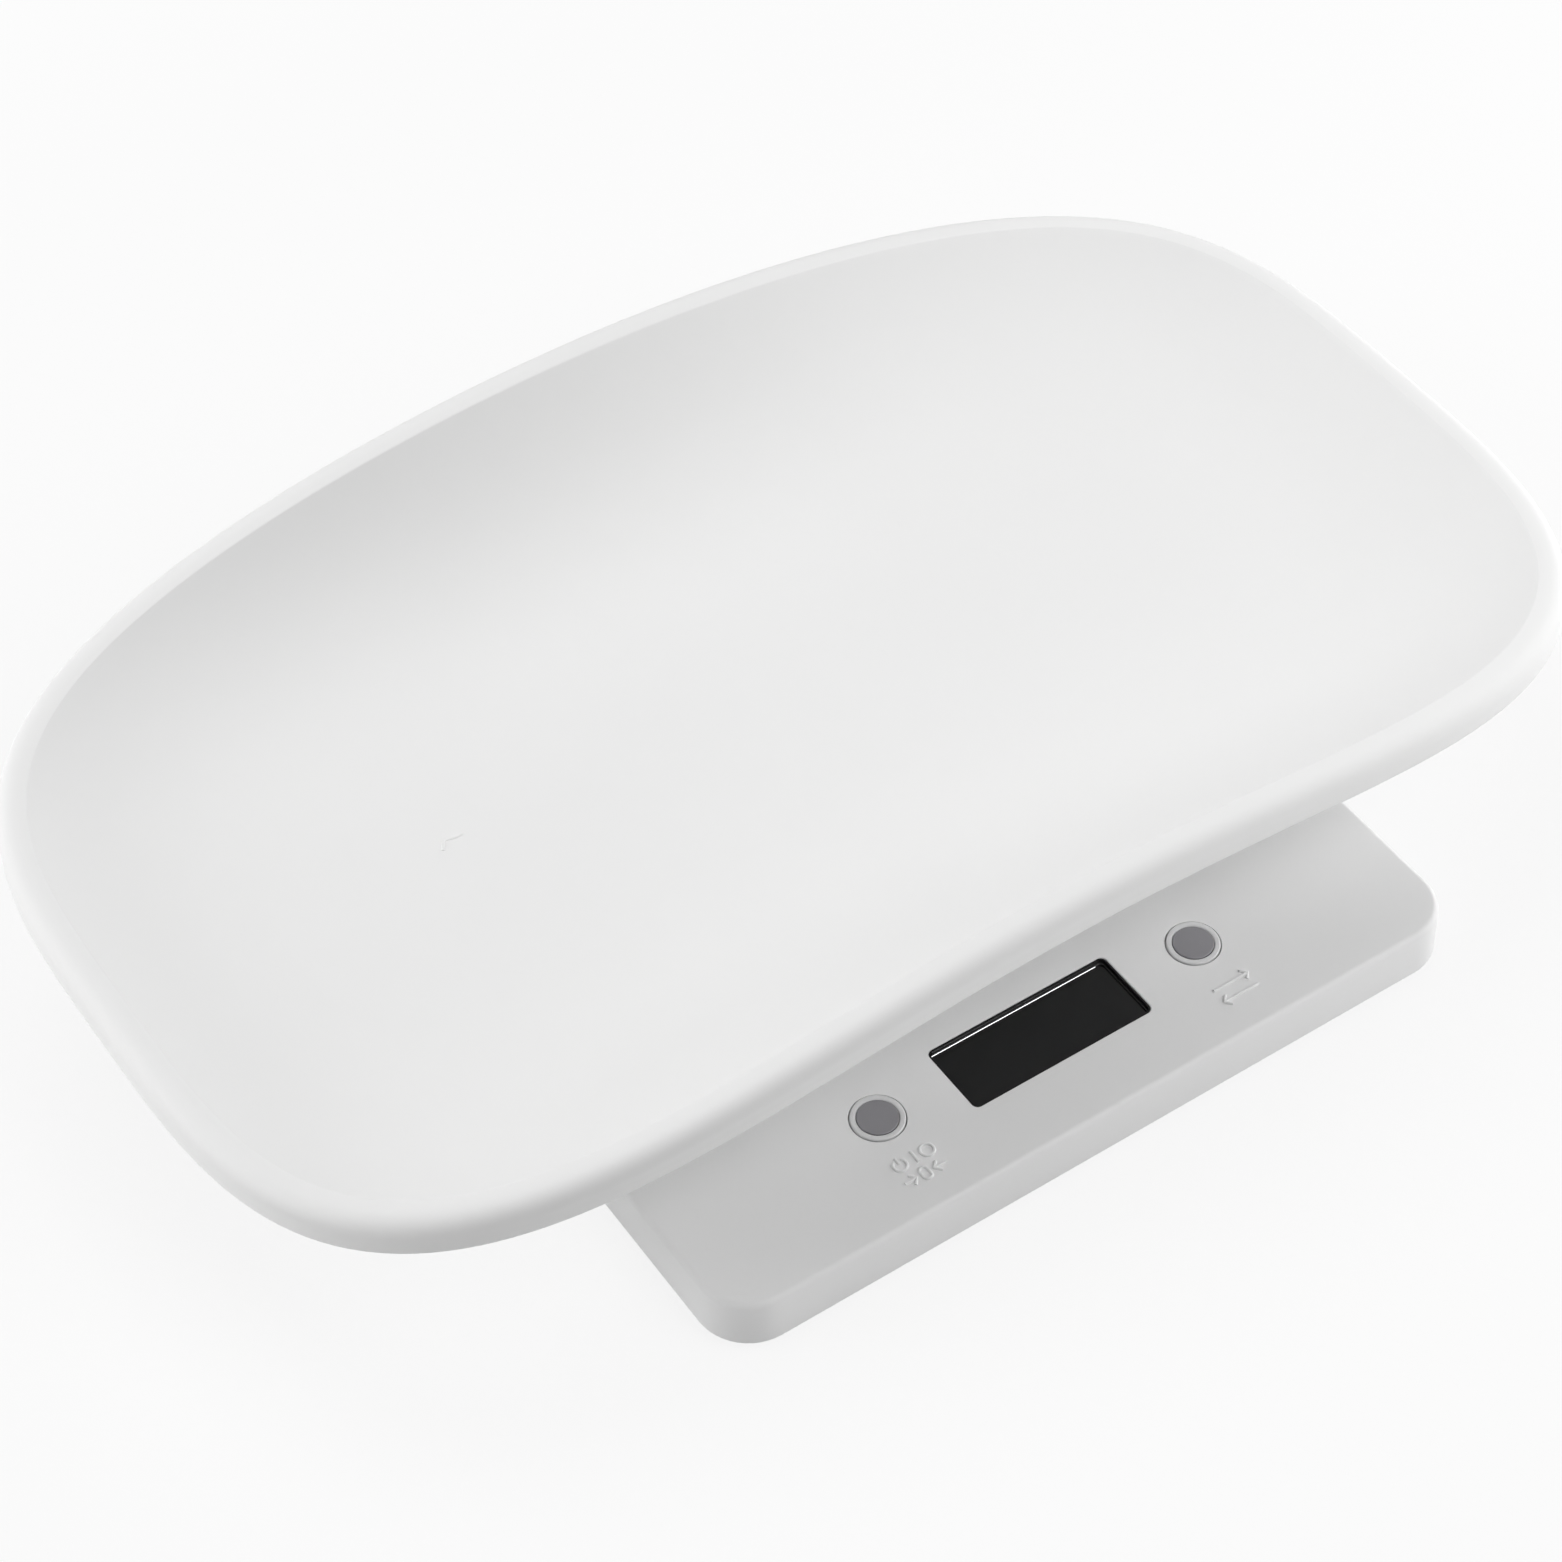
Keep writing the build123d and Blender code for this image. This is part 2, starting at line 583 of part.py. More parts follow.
# Bottom plate: rim, ribs, cell boss, screw pillars, foot pockets and battery bay
plate_length = base_width - 2 * shell_wall - 2 * plate_gap
plate_width = base_depth - 2 * shell_wall - 2 * plate_gap
plate_corner = base_corner - shell_wall - plate_gap
door_tab_top = plate_top + door_tab_lift + door_tab_thickness
tab_swing = sqrt(door_tab_reach**2 + (door_tab_top - plate_under) ** 2)
head_recess = cell_screw_head_height + plate_recess
with BuildPart() as base_bottom:
    with BuildSketch(level(base_y, plate_under)):
        RectangleRounded(plate_length, plate_width, plate_corner)
    extrude(amount=plate_thickness, taper=base_taper)
    plate_upper = base_bottom.faces().sort_by(Axis.Z)[-1]
    with BuildSketch(level(base_y, plate_top)) as rim_sketch:
        RectangleRounded(plate_length - 2 * plate_rim_wall, plate_width - 2 * plate_rim_wall, plate_corner)
        offset(amount=-plate_rim_wall, mode=Mode.SUBTRACT)
    extrude(amount=plate_rim_height)
    with BuildSketch(level(base_y, plate_top)):
        with GridLocations(base_width * 2 / 3, 0, 2, 1):
            Rectangle(rib_wall, plate_width - 4 * plate_rim_wall)
        with GridLocations(0, base_depth / 3, 1, 2):
            Rectangle(plate_length - 4 * plate_rim_wall, rib_wall)
    extrude(amount=rib_height)
    with BuildSketch(level(load_y, plate_top)):
        with Locations((cell_fixed_x, 0)):
            RectangleRounded(spacer_length + cell_boss_margin, cell_section + cell_boss_margin, cell_boss_margin / 2)
    extrude(amount=cell_boss_height)
    with BuildSketch(Plane.XY.offset(plate_top)):
        with Locations(case_screw_places):
            Circle(case_boss_diameter / 2)
    extrude(amount=case_pillar_height)
    with BuildSketch(Plane.XY.offset(plate_under)):
        with Locations(case_screw_places):
            Circle(case_screw_head / 2 + screw_clearance)
    extrude(amount=plate_thickness, mode=Mode.SUBTRACT)
    with BuildSketch(Plane.XY.offset(plate_under)):
        with Locations(case_screw_places):
            Circle(case_screw_diameter / 2 + screw_clearance)
        with Locations(cell_screw_places):
            Circle(cell_screw_diameter / 2 + screw_clearance)
    extrude(amount=pillar_top - plate_under, mode=Mode.SUBTRACT)
    with BuildSketch(Plane.XY.offset(plate_under)):
        with Locations(cell_screw_places):
            Circle(cell_screw_head / 2 + screw_clearance)
    extrude(amount=cell_head_top - plate_under, mode=Mode.SUBTRACT)
    with BuildSketch(Plane.XY.offset(plate_under)):
        with Locations(list(foot_places.values())):
            Circle(foot_diameter / 2 + foot_pocket_gap)
    extrude(amount=foot_pocket_depth, mode=Mode.SUBTRACT)
    with BuildSketch(level(bay_y, plate_top)):
        Rectangle(bay_length + 2 * bay_wall, bay_width + 2 * bay_wall)
    extrude(amount=bay_ceiling + bay_wall - plate_top)
    with BuildSketch(level(bay_y, plate_under)):
        Rectangle(bay_length, bay_width)
    extrude(amount=bay_ceiling - plate_under, mode=Mode.SUBTRACT)
    with BuildSketch(level(bay_y, plate_top)):
        with GridLocations(door_tab_spacing, 0, 2, 1):
            with Locations((0, bay_width / 2 + bay_wall / 2)):
                Rectangle(door_tab_width + 2 * door_gap, bay_wall)
    extrude(amount=plate_under + tab_swing + door_gap - plate_top, mode=Mode.SUBTRACT)
    with BuildSketch(Plane((-bay_length / 2, bay_y, wire_level), x_dir=(0, 1, 0), z_dir=(1, 0, 0))):
        with GridLocations(battery_pitch, 0, 2, 1):
            Circle(wire_diameter / 2 + screw_clearance)
    extrude(amount=-2 * bay_wall, mode=Mode.SUBTRACT)
base_bottom.part.label = "base_bottom"
export_step(base_bottom.part, "parts/base_bottom.step")

# Four case screws, heads sunk in the bottom plate
with BuildPart() as case_screws:
    with BuildSketch(Plane.XY.offset(plate_top - case_screw_head_height)):
        with Locations(case_screw_places):
            Circle(case_screw_head / 2)
    extrude(amount=case_screw_head_height)
    with BuildSketch(Plane.XY.offset(plate_top)):
        with Locations(case_screw_places):
            Circle(case_screw_diameter / 2)
    extrude(amount=case_screw_length)
    with BuildSketch(Plane.XY.offset(plate_top - case_screw_head_height)):
        with Locations(case_screw_places):
            Rectangle(case_screw_diameter, case_screw_diameter / 4)
            Rectangle(case_screw_diameter / 4, case_screw_diameter)
    extrude(amount=case_screw_head_height / 2, mode=Mode.SUBTRACT)
case_screws.part.label = "case_screws"
export_step(case_screws.part, "parts/case_screws.step")

# Four rubber feet
for corner, place in foot_places.items():
    with BuildPart() as foot:
        with BuildSketch(Plane.XY):
            with Locations(place):
                Circle(foot_diameter / 2)
        extrude(amount=plate_under + foot_pocket_depth)
        fillet(foot.edges().group_by(Axis.Z)[0], foot_edge_round)
    foot.part.label = f"foot_{corner}"
    export_step(foot.part, f"parts/foot_{corner}.step")

# Battery door: tabs at the back hook over the plate, a latch stands at the front
door_length = bay_length - 2 * door_gap
door_width = bay_width - 2 * door_gap
with BuildPart() as battery_door:
    with BuildSketch(level(bay_y, plate_under)):
        Rectangle(door_length, door_width)
        with Locations((0, -door_width / 2)):
            Circle(door_notch_diameter / 2, mode=Mode.SUBTRACT)
    extrude(amount=door_thickness)
    with BuildSketch(level(bay_y, plate_under + door_thickness)):
        with GridLocations(door_tab_spacing, 0, 2, 1):
            with Locations((0, door_width / 2 - door_tab_root / 2)):
                Rectangle(door_tab_width, door_tab_root)
    extrude(amount=door_tab_top - plate_under - door_thickness)
    with BuildSketch(level(bay_y, door_tab_top)):
        with GridLocations(door_tab_spacing, 0, 2, 1):
            with Locations((0, door_width / 2 + door_tab_reach / 2)):
                Rectangle(door_tab_width, door_tab_reach)
    extrude(amount=-door_tab_thickness)
    with BuildSketch(level(bay_y, plate_under + door_thickness)):
        with GridLocations(door_latch_width + door_notch_diameter, 0, 2, 1):
            with Locations((0, -door_width / 2 + door_latch_inset + door_tab_root / 2)):
                Rectangle(door_latch_width / 2, door_tab_root)
    extrude(amount=door_latch_height)
battery_door.part.label = "battery_door"
export_step(battery_door.part, "parts/battery_door.step")

# Two AAA cells, lying opposite ways
contact_face = bay_length / 2 - contact_plate_thickness
for name, side in (("battery_front", -1), ("battery_rear", 1)):
    battery_end = (side * contact_face, bay_y + side * battery_pitch / 2, battery_axis)
    battery_plane = Plane(battery_end, x_dir=(0, 1, 0), z_dir=(-side, 0, 0))
    with BuildPart() as battery:
        with BuildSketch(battery_plane):
            Circle(cell_nub_diameter / 2)
        extrude(amount=cell_nub_length)
        with BuildSketch(battery_plane.offset(cell_nub_length)):
            Circle(cell_aaa_diameter / 2)
        extrude(amount=cell_aaa_length - cell_nub_length)
    battery.part.label = name
    export_step(battery.part, f"parts/{name}.step")

# Contact plates at both ends of the bay: two single ones and one that joins the cells
with BuildPart() as contact_plates:
    with BuildSketch(Plane((-bay_length / 2, bay_y, battery_axis), x_dir=(0, 1, 0), z_dir=(1, 0, 0))):
        with GridLocations(battery_pitch, 0, 2, 1):
            Rectangle(contact_plate_width, contact_plate_height)
    extrude(amount=contact_plate_thickness)
    with BuildSketch(Plane((bay_length / 2, bay_y, battery_axis), x_dir=(0, 1, 0), z_dir=(-1, 0, 0))):
        Rectangle(contact_plate_width + battery_pitch, contact_plate_height)
    extrude(amount=contact_plate_thickness)
contact_plates.part.label = "contact_plates"
export_step(contact_plates.part, "parts/contact_plates.step")

# A coil spring behind the flat end of each cell
spring_space = 2 * contact_face - cell_aaa_length
spring_height = spring_space - spring_wire
with BuildPart() as contact_springs:
    for side in (-1, 1):
        seat = Plane(
            (-side * (contact_face - spring_wire / 2), bay_y + side * battery_pitch / 2, battery_axis),
            z_dir=(side, 0, 0),
        )
        coil = Helix(spring_height / spring_turn_count, spring_height, spring_diameter / 2)
        coil = seat.location * coil
        with BuildSketch(Plane(coil @ 0, z_dir=coil % 0)):
            RegularPolygon(spring_wire / 2, spring_wire_sides)
        sweep(path=coil)
contact_springs.part.label = "contact_springs"
export_step(contact_springs.part, "parts/contact_springs.step")

# Circuit board under the display strip
with BuildPart() as circuit_board:
    with BuildSketch(level(display_y, board_under)):
        RectangleRounded(board_length, board_width, 1.0)
    extrude(amount=board_thickness)
    with BuildSketch(Plane.XY.offset(board_under)):
        with Locations(board_screw_places):
            Circle(board_screw_diameter / 2 + screw_clearance)
    extrude(amount=board_thickness, mode=Mode.SUBTRACT)
circuit_board.part.label = "circuit_board"
export_step(circuit_board.part, "parts/circuit_board.step")

# Four screws that hold the board to the shell's bosses
with BuildPart() as board_screws:
    with BuildSketch(Plane.XY.offset(board_under)):
        with Locations(board_screw_places):
            Circle(board_screw_head / 2)
    extrude(amount=-board_screw_head_height)
    with BuildSketch(Plane.XY.offset(board_under)):
        with Locations(board_screw_places):
            Circle(board_screw_diameter / 2)
    extrude(amount=board_screw_length)
board_screws.part.label = "board_screws"
export_step(board_screws.part, "parts/board_screws.step")

# Controller under its blob of resin, on the board's lower face
with BuildPart() as controller_chip:
    with BuildSketch(level(display_y, board_under)):
        Circle(chip_size / 2)
    extrude(amount=-chip_height)
    fillet(controller_chip.edges().group_by(Axis.Z)[0], chip_height * 0.8)
controller_chip.part.label = "controller_chip"
export_step(controller_chip.part, "parts/controller_chip.step")

# Display window: a black moulding with a flange under the deck and a sunk face
window_top = deck_top - window_sink
with BuildPart() as display_window:
    with BuildSketch(level(display_y, window_flange_under)):
        RectangleRounded(window_length + 2 * window_flange, window_width + 2 * window_flange, window_corner)
    extrude(amount=window_flange_thickness)
    with BuildSketch(level(display_y, deck_under)):
        RectangleRounded(window_length - 2 * window_gap, window_width - 2 * window_gap, window_corner)
    extrude(amount=window_top - deck_under)
    with BuildSketch(level(display_y, window_top)):
        RectangleRounded(
            window_length - 2 * window_gap - 2 * window_rim,
            window_width - 2 * window_gap - 2 * window_rim,
            window_corner - window_rim,
        )
    extrude(amount=-window_pocket_depth, mode=Mode.SUBTRACT)
    fillet(display_window.edges(Select.LAST).group_by(Axis.Z)[0], window_floor_round)
display_window.part.label = "display_window"
export_step(display_window.part, "parts/display_window.step")

# Liquid crystal panel: two sheets of glass, the lower one with a contact ledge
lcd_under = window_flange_under - lcd_thickness
with BuildPart() as lcd_panel:
    with BuildSketch(level(display_y, lcd_under)):
        Rectangle(lcd_length, lcd_width)
    extrude(amount=lcd_thickness)
    with BuildSketch(level(display_y - lcd_width / 2 + lcd_step / 2, window_flange_under)):
        Rectangle(lcd_length, lcd_step)
    extrude(amount=-lcd_thickness / 2, mode=Mode.SUBTRACT)
lcd_panel.part.label = "lcd_panel"
export_step(lcd_panel.part, "parts/lcd_panel.step")

# Frame that holds the panel over the board
with BuildPart() as lcd_frame:
    with BuildSketch(level(display_y, board_top)):
        RectangleRounded(
            lcd_length + 2 * lcd_frame_gap + 2 * lcd_frame_wall,
            lcd_width + 2 * lcd_frame_gap + 2 * lcd_frame_wall,
            1.0,
        )
        Rectangle(lcd_length + 2 * lcd_frame_gap, lcd_width + 2 * lcd_frame_gap, mode=Mode.SUBTRACT)
    extrude(amount=window_flange_under - board_top)
lcd_frame.part.label = "lcd_frame"
export_step(lcd_frame.part, "parts/lcd_frame.step")

# Conductive rubber strip between the board and the panel's ledge
with BuildPart() as contact_strip:
    with BuildSketch(level(display_y - lcd_width / 2 + contact_strip_width / 2, board_top)):
        Rectangle(lcd_length - contact_strip_width, contact_strip_width)
    extrude(amount=lcd_under - board_top)
contact_strip.part.label = "contact_strip"
export_step(contact_strip.part, "parts/contact_strip.step")

# Buttons: a ring-shaped cap with an inlaid disc, over a small press switch
cap_under = deck_under - button_flange_gap - button_flange_thickness
cap_top = deck_top + button_proud
for name, side in (("left", -1), ("right", 1)):
    button_place = (side * button_spacing / 2, buttons_y)
    with BuildPart() as button_cap:
        with BuildSketch(Plane.XY.offset(cap_under)):
            with Locations(button_place):
                Circle(button_diameter / 2 + button_flange)
        extrude(amount=button_flange_thickness)
        with BuildSketch(Plane.XY.offset(cap_under)):
            with Locations(button_place):
                Circle(button_diameter / 2)
        extrude(amount=cap_top - cap_under)
        with BuildSketch(Plane.XY.offset(cap_top)):
            with Locations(button_place):
                Circle(inlay_diameter / 2 + inlay_gap)
        extrude(amount=inlay_proud - inlay_thickness, mode=Mode.SUBTRACT)
        fillet(button_cap.edges().group_by(Axis.Z)[-1], button_edge_round)
    button_cap.part.label = f"button_cap_{name}"
    export_step(button_cap.part, f"parts/button_cap_{name}.step")

    with BuildPart() as button_inlay:
        with BuildSketch(Plane.XY.offset(cap_top + inlay_proud - inlay_thickness)):
            with Locations(button_place):
                Circle(inlay_diameter / 2)
        extrude(amount=inlay_thickness)
        fillet(button_inlay.edges().group_by(Axis.Z)[-1], inlay_edge_round)
    button_inlay.part.label = f"button_inlay_{name}"
    export_step(button_inlay.part, f"parts/button_inlay_{name}.step")

    plunger_bottom = board_top + switch_height - plunger_engagement
    with BuildPart() as switch_body:
        with BuildSketch(Plane.XY.offset(board_top)):
            with Locations(button_place):
                Rectangle(switch_size, switch_size)
        extrude(amount=switch_height)
        with BuildSketch(Plane.XY.offset(board_top + switch_height)):
            with Locations(button_place):
                Circle(plunger_diameter / 2 + plunger_gap)
        extrude(amount=-(plunger_engagement + button_stroke + plunger_gap), mode=Mode.SUBTRACT)
    switch_body.part.label = f"switch_body_{name}"
    export_step(switch_body.part, f"parts/switch_body_{name}.step")

    with BuildPart() as switch_plunger:
        with BuildSketch(Plane.XY.offset(plunger_bottom)):
            with Locations(button_place):
                Circle(plunger_diameter / 2)
        extrude(amount=cap_under - plunger_bottom)
    switch_plunger.part.label = f"switch_plunger_{name}"
    export_step(switch_plunger.part, f"parts/switch_plunger_{name}.step")

# Wires from the strain gauges to the board, side by side
board_back_y = display_y + board_width / 2
drop_y = load_y - cell_section / 2 - cell_wires_drop
with BuildPart() as load_cell_wires:
    for place in range(cell_wire_count):
        shift = (place - (cell_wire_count - 1) / 2) * wire_pitch
        with BuildLine() as run:
            FilletPolyline(
                (cell_wires_start + shift, load_y - gauge_coat_width / 2, cell_top + wire_diameter / 2 + wire_clearance),
                (cell_wires_start + shift, drop_y, cell_top + wire_diameter / 2 + wire_clearance),
                (cell_wires_start + shift, drop_y, wire_level),
                (cell_wires_start + shift, drop_y - 4 * wire_bend, wire_level),
                (cell_wires_end + shift, board_back_y + 4 * wire_bend, wire_level),
                (cell_wires_end + shift, board_back_y - wire_lap, wire_level),
                radius=wire_bend,
            )
        with BuildSketch(Plane(run.line @ 0, z_dir=run.line % 0)):
            Circle(wire_diameter / 2)
        sweep(path=run.line)
load_cell_wires.part.label = "load_cell_wires"
export_step(load_cell_wires.part, "parts/load_cell_wires.step")

# Two wires from the battery contacts to the board
lane_x = -cell_length / 2 - battery_wires_lane
with BuildPart() as battery_wires:
    for side in (-1, 1):
        wire_x = lane_x - (side + 1) / 2 * wire_pitch
        with BuildLine() as run:
            FilletPolyline(
                (-bay_length / 2, bay_y + side * battery_pitch / 2, wire_level),
                (wire_x, bay_y + side * battery_pitch / 2, wire_level),
                (wire_x, board_back_y - wire_lap, wire_level),
                radius=wire_bend,
            )
        with BuildSketch(Plane(run.line @ 0, z_dir=run.line % 0)):
            Circle(wire_diameter / 2)
        sweep(path=run.line)
battery_wires.part.label = "battery_wires"
export_step(battery_wires.part, "parts/battery_wires.step")
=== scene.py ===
"""Looks of the digital pet scale: its moulded white tray, its case with display and
buttons, and everything inside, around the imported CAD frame. Lengths are in
millimetres in the functions and become metres where a mesh is made."""
from math import cos, pi, radians, sin

import bpy
import numpy as np
from mathutils import Matrix, Vector


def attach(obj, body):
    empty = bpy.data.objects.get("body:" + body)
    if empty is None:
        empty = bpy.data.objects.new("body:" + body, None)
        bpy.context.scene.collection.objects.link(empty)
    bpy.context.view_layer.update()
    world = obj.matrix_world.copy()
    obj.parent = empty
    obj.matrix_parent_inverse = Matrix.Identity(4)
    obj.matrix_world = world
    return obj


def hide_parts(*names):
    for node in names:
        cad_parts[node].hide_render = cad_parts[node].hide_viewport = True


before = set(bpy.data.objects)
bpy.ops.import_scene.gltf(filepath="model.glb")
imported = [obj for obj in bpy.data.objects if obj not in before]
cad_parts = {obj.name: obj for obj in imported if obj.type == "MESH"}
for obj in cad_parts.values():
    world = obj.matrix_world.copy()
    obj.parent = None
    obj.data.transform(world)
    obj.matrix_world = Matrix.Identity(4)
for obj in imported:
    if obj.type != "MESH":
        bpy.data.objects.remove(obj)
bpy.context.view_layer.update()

MM = 0.001

# Base: sizes as in the part's source, from its middle, its front wall and the table

FRONT = -106.65
LOAD_Y = FRONT + 113.3
DECK = 14.0
BUTTON_X = 41.1
WINDOW_LENGTH = 46.2
WINDOW_WIDTH = 17.7
WINDOW_MIDDLE = 25.4
WINDOW_SINK = 0.15
WINDOW_POCKET = 1.2
WINDOW_FLOOR = DECK - WINDOW_SINK - WINDOW_POCKET

# Tray: sizes as in the part's source, but a hair shorter, narrower and lower, to stay inside its box

TRAY_LENGTH = 339.98
TRAY_WIDTH = 199.98
END_POWER = 4.2
SIDE_POWER = 3.4
RIM_HEIGHT = 66.98
RIM_DROP = 19.7
RIM_ARCH = 1.756
TRAY_WALL = 2.6
FLOOR_HEIGHT = 36.0
FLOOR_LENGTH = 240.0
FLOOR_WIDTH = 50.0
DISH_POWER = 3.2
LIP_ROUND = 3.8
LIP_DEPTH = 8.65
LIP_WALL = 2.2
LIP_EDGE = 1.5
LIP_BEVEL = 0.2

# Crest: a nearly level top that turns down into the dish over a crisp edge, in the scene alone

CREST_FLAT = 2.8
CREST_FALL = 0.22
CREST_EDGE = 0.7

# Pegs under the tray

PEG_RADIUS = 3.0
PEG_LENGTH = 5.0
PEG_CHAMFER = 0.6
PEG_ROOT = 0.5
PEG_X = 52.0
PEG_Y = 31.0
PEG_SIDES = 32

# Where the tray's rings lie: shares of the floor, rises of the dish, and turns of each round

AROUND = 300
FINE_AROUND = 7201
FLOOR_SHARES = np.linspace(0.15, 0.85, 4)
DISH_RISES = np.linspace(0, 0.985, 38)
CREST_TURNS = np.linspace(1, 0, 8)
CREST_SHARES = np.linspace(0.8, 0.2, 4)
ROLL_TURNS = np.linspace(pi / 2, 0, 12)
EDGE_TURNS = np.linspace(0, pi / 2, 7)
HOLLOW_TURNS = np.linspace(0, pi / 2, 6)
UNDER_RISES = np.linspace(0.97, 0, 28)
SLOPE_TRIALS = 6

# Raised signs beside the buttons: places from each sign's middle, in an upper and a lower row

ICON_Y = FRONT + 11.5
ICON_WIDTH = 0.72
ICON_RELIEF = 0.45
BEAD_TURNS = np.linspace(0, pi, 9)
BEAD_SINK = 0.02
UPPER_ROW = 2.25
LOWER_ROW = -2.3
POWER_X = -3.2
POWER_DROP = 0.15
POWER_GAP = 35
POWER_STROKE = 1.8
POWER_STEPS = 25
BAR_X = 0.5
BAR_HALF = 1.6
RING_X = 3.6
RING_RADIUS = 1.5
RING_STEPS = 24
NOUGHT_RADIUS = 0.95
NOUGHT_STRETCH = 0.6
NOUGHT_STEPS = 11
ARROW_HEAD = 1.3
ARROW_INNER = 2.1
ARROW_OUTER = 5.1
SWAP_HALF = 4.6
SWAP_CLOSER = 0.5

# Thin marks: a polished strip that stands in for the highlight on the window's back edge, and the moulding
# mark on the tray's floor

LINE_TURNS = np.linspace(0, pi / 2, 7)
LINE_EDGE = 0.16
LINE_LIFT = 0.01
LINE_SET_BACK = 0.75
LINE_LEFT_END = 0.9
LINE_RIGHT_END = 2.4
MARK_PATH = ((-85.9, 14.6), (-84.9, 16.4), (-84.1, 17.0), (-83.0, 16.6), (-81.6, 16.3), (-80.2, 16.4))
MARK_WIDTH = 0.8
MARK_RELIEF = 0.24

# Finishes: plastics, metals and the nodes of the frame that wear them; reliefs are in metres

PLASTICS = {
    "tray_plastic": dict(colour=(0.868, 0.868, 0.866), roughness=0.6, Specular_IOR_Level=0.2),
    "case_plastic": dict(colour=(0.895, 0.895, 0.895), roughness=0.5, grain=3400.0, relief=0.00003),
    "button_white": dict(colour=(0.78, 0.78, 0.785), roughness=0.3, relief=0.00001),
    "button_grey": dict(
        colour=(0.28, 0.274, 0.292), roughness=0.22, relief=0.00001, Specular_IOR_Level=0.75
    ),
    "inner_white": dict(colour=(0.7, 0.7, 0.69), roughness=0.5),
    "foot_rubber": dict(colour=(0.16, 0.16, 0.165), roughness=0.75, relief=0.00006),
    "coating_silicone": dict(colour=(0.82, 0.82, 0.78), roughness=0.35, grain=500.0, relief=0.0001),
    "resin_black": dict(colour=(0.015, 0.015, 0.016), roughness=0.25, grain=700.0, relief=0.0001),
    "switch_black": dict(colour=(0.03, 0.03, 0.03), roughness=0.45),
    "rubber_strip": dict(colour=(0.07, 0.07, 0.08), roughness=0.7),
    "wire_cover": dict(colour=(0.45, 0.03, 0.025), roughness=0.4),
    "battery_wrap": dict(colour=(0.1, 0.12, 0.15), roughness=0.32, relief=0.00001),
    "lcd_glass": dict(colour=(0.05, 0.06, 0.05), roughness=0.1, relief=0.000002),
}
METALS = {
    "cell_aluminium": dict(colour=(0.76, 0.77, 0.78), roughness=0.32, stretch=(1, 14, 14)),
    "zinc_steel": dict(colour=(0.6, 0.61, 0.63), roughness=0.35, stretch=(6, 6, 1)),
    "nickel_contact": dict(colour=(0.7, 0.69, 0.66), roughness=0.28, stretch=(1, 8, 8)),
}
WORN_BY = {
    "tray_plastic": ("tray",),
    "case_plastic": ("base_top", "base_bottom", "battery_door", "platform"),
    "button_white": ("button_cap_left", "button_cap_right"),
    "button_grey": ("button_inlay_left", "button_inlay_right"),
    "window_black": ("display_window",),
    "inner_white": ("lcd_frame",),
    "foot_rubber": ("foot_front_left", "foot_front_right", "foot_rear_left", "foot_rear_right"),
    "coating_silicone": ("gauge_coating",),
    "resin_black": ("controller_chip",),
    "switch_black": (
        "switch_body_left",
        "switch_body_right",
        "switch_plunger_left",
        "switch_plunger_right",
    ),
    "rubber_strip": ("contact_strip",),
    "wire_cover": ("load_cell_wires", "battery_wires"),
    "battery_wrap": ("battery_front", "battery_rear"),
    "board_green": ("circuit_board",),
    "lcd_glass": ("lcd_panel",),
    "cell_aluminium": ("load_cell",),
    "zinc_steel": (
        "case_screws",
        "cell_screws",
        "platform_screws",
        "board_screws",
        "cell_spacer",
        "platform_bracket",
    ),
    "nickel_contact": ("contact_plates", "contact_springs"),
}
MASK_GREEN = (0.012, 0.11, 0.04)
TRACK_GREEN = (0.03, 0.2, 0.08)
TRACK_SCALE = 160.0
TRACK_WIDTH = 0.03
MOTTLE_SCALE = 14.0
MOTTLE_DETAIL = 3.0
MOTTLE_SHADE = 0.985
MOTTLE_RAMP = (0.3, 0.7)
MOTTLE_GLOSS = (0.94, 1.06)
GRAIN_STRENGTH = 0.25
BRUSH_SCALE = 300.0
BRUSH_DETAIL = 4.0
BRUSH_GLOSS = (0.8, 1.3)
BRUSH_STRENGTH = 0.2
BRUSH_RELIEF = 0.00003
WELD_DISTANCE = 0.000005
SPLIT_ANGLE = 32

# Studio, in metres; a lamp has its azimuth, elevation, distance, size and power

SEEN_WHITE = (0.982, 0.982, 0.982)
FLOOR_COLOUR = (0.9, 0.9, 0.9)
FLOOR_REACH = 3.0
SHADOW_SHARE = 0.13
SHADOW_REACH = (0.25, 0.46)
WORLD_LIGHT = 0.0
LAMP_AIM = 0.04
LAMPS = {
    "lamp_low_right": (60, 10, 0.65, 0.45, 0.98),
    "lamp_low_side": (90, 10, 0.65, 0.45, 1.4),
    "lamp_front_right": (30, 45, 1.6, 1.0, 11.5),
    "lamp_back": (180, 60, 1.6, 1.0, 11.5),
    "lamp_rear_left": (240, 15, 1.6, 1.0, 10.7),
    "lamp_upper_left": (255, 30, 1.6, 1.0, 5.8),
}

# Camera: its focal length in pixels, direction, and where it sees the foot of the front wall's middle

IMAGE_SIZE = 1562
FOCAL_PIXELS = 3890.65
CAMERA_AZIMUTH = -34.3
CAMERA_ELEVATION = 48.13
SEEN_LEVEL = 2.0
SEEN_DEPTH = 807.1
SEEN_PIXEL = (1110.78, 1146.47)
SENSOR_WIDTH = 36.0
CLIP_RANGE = (0.01, 20.0)


# Meshes

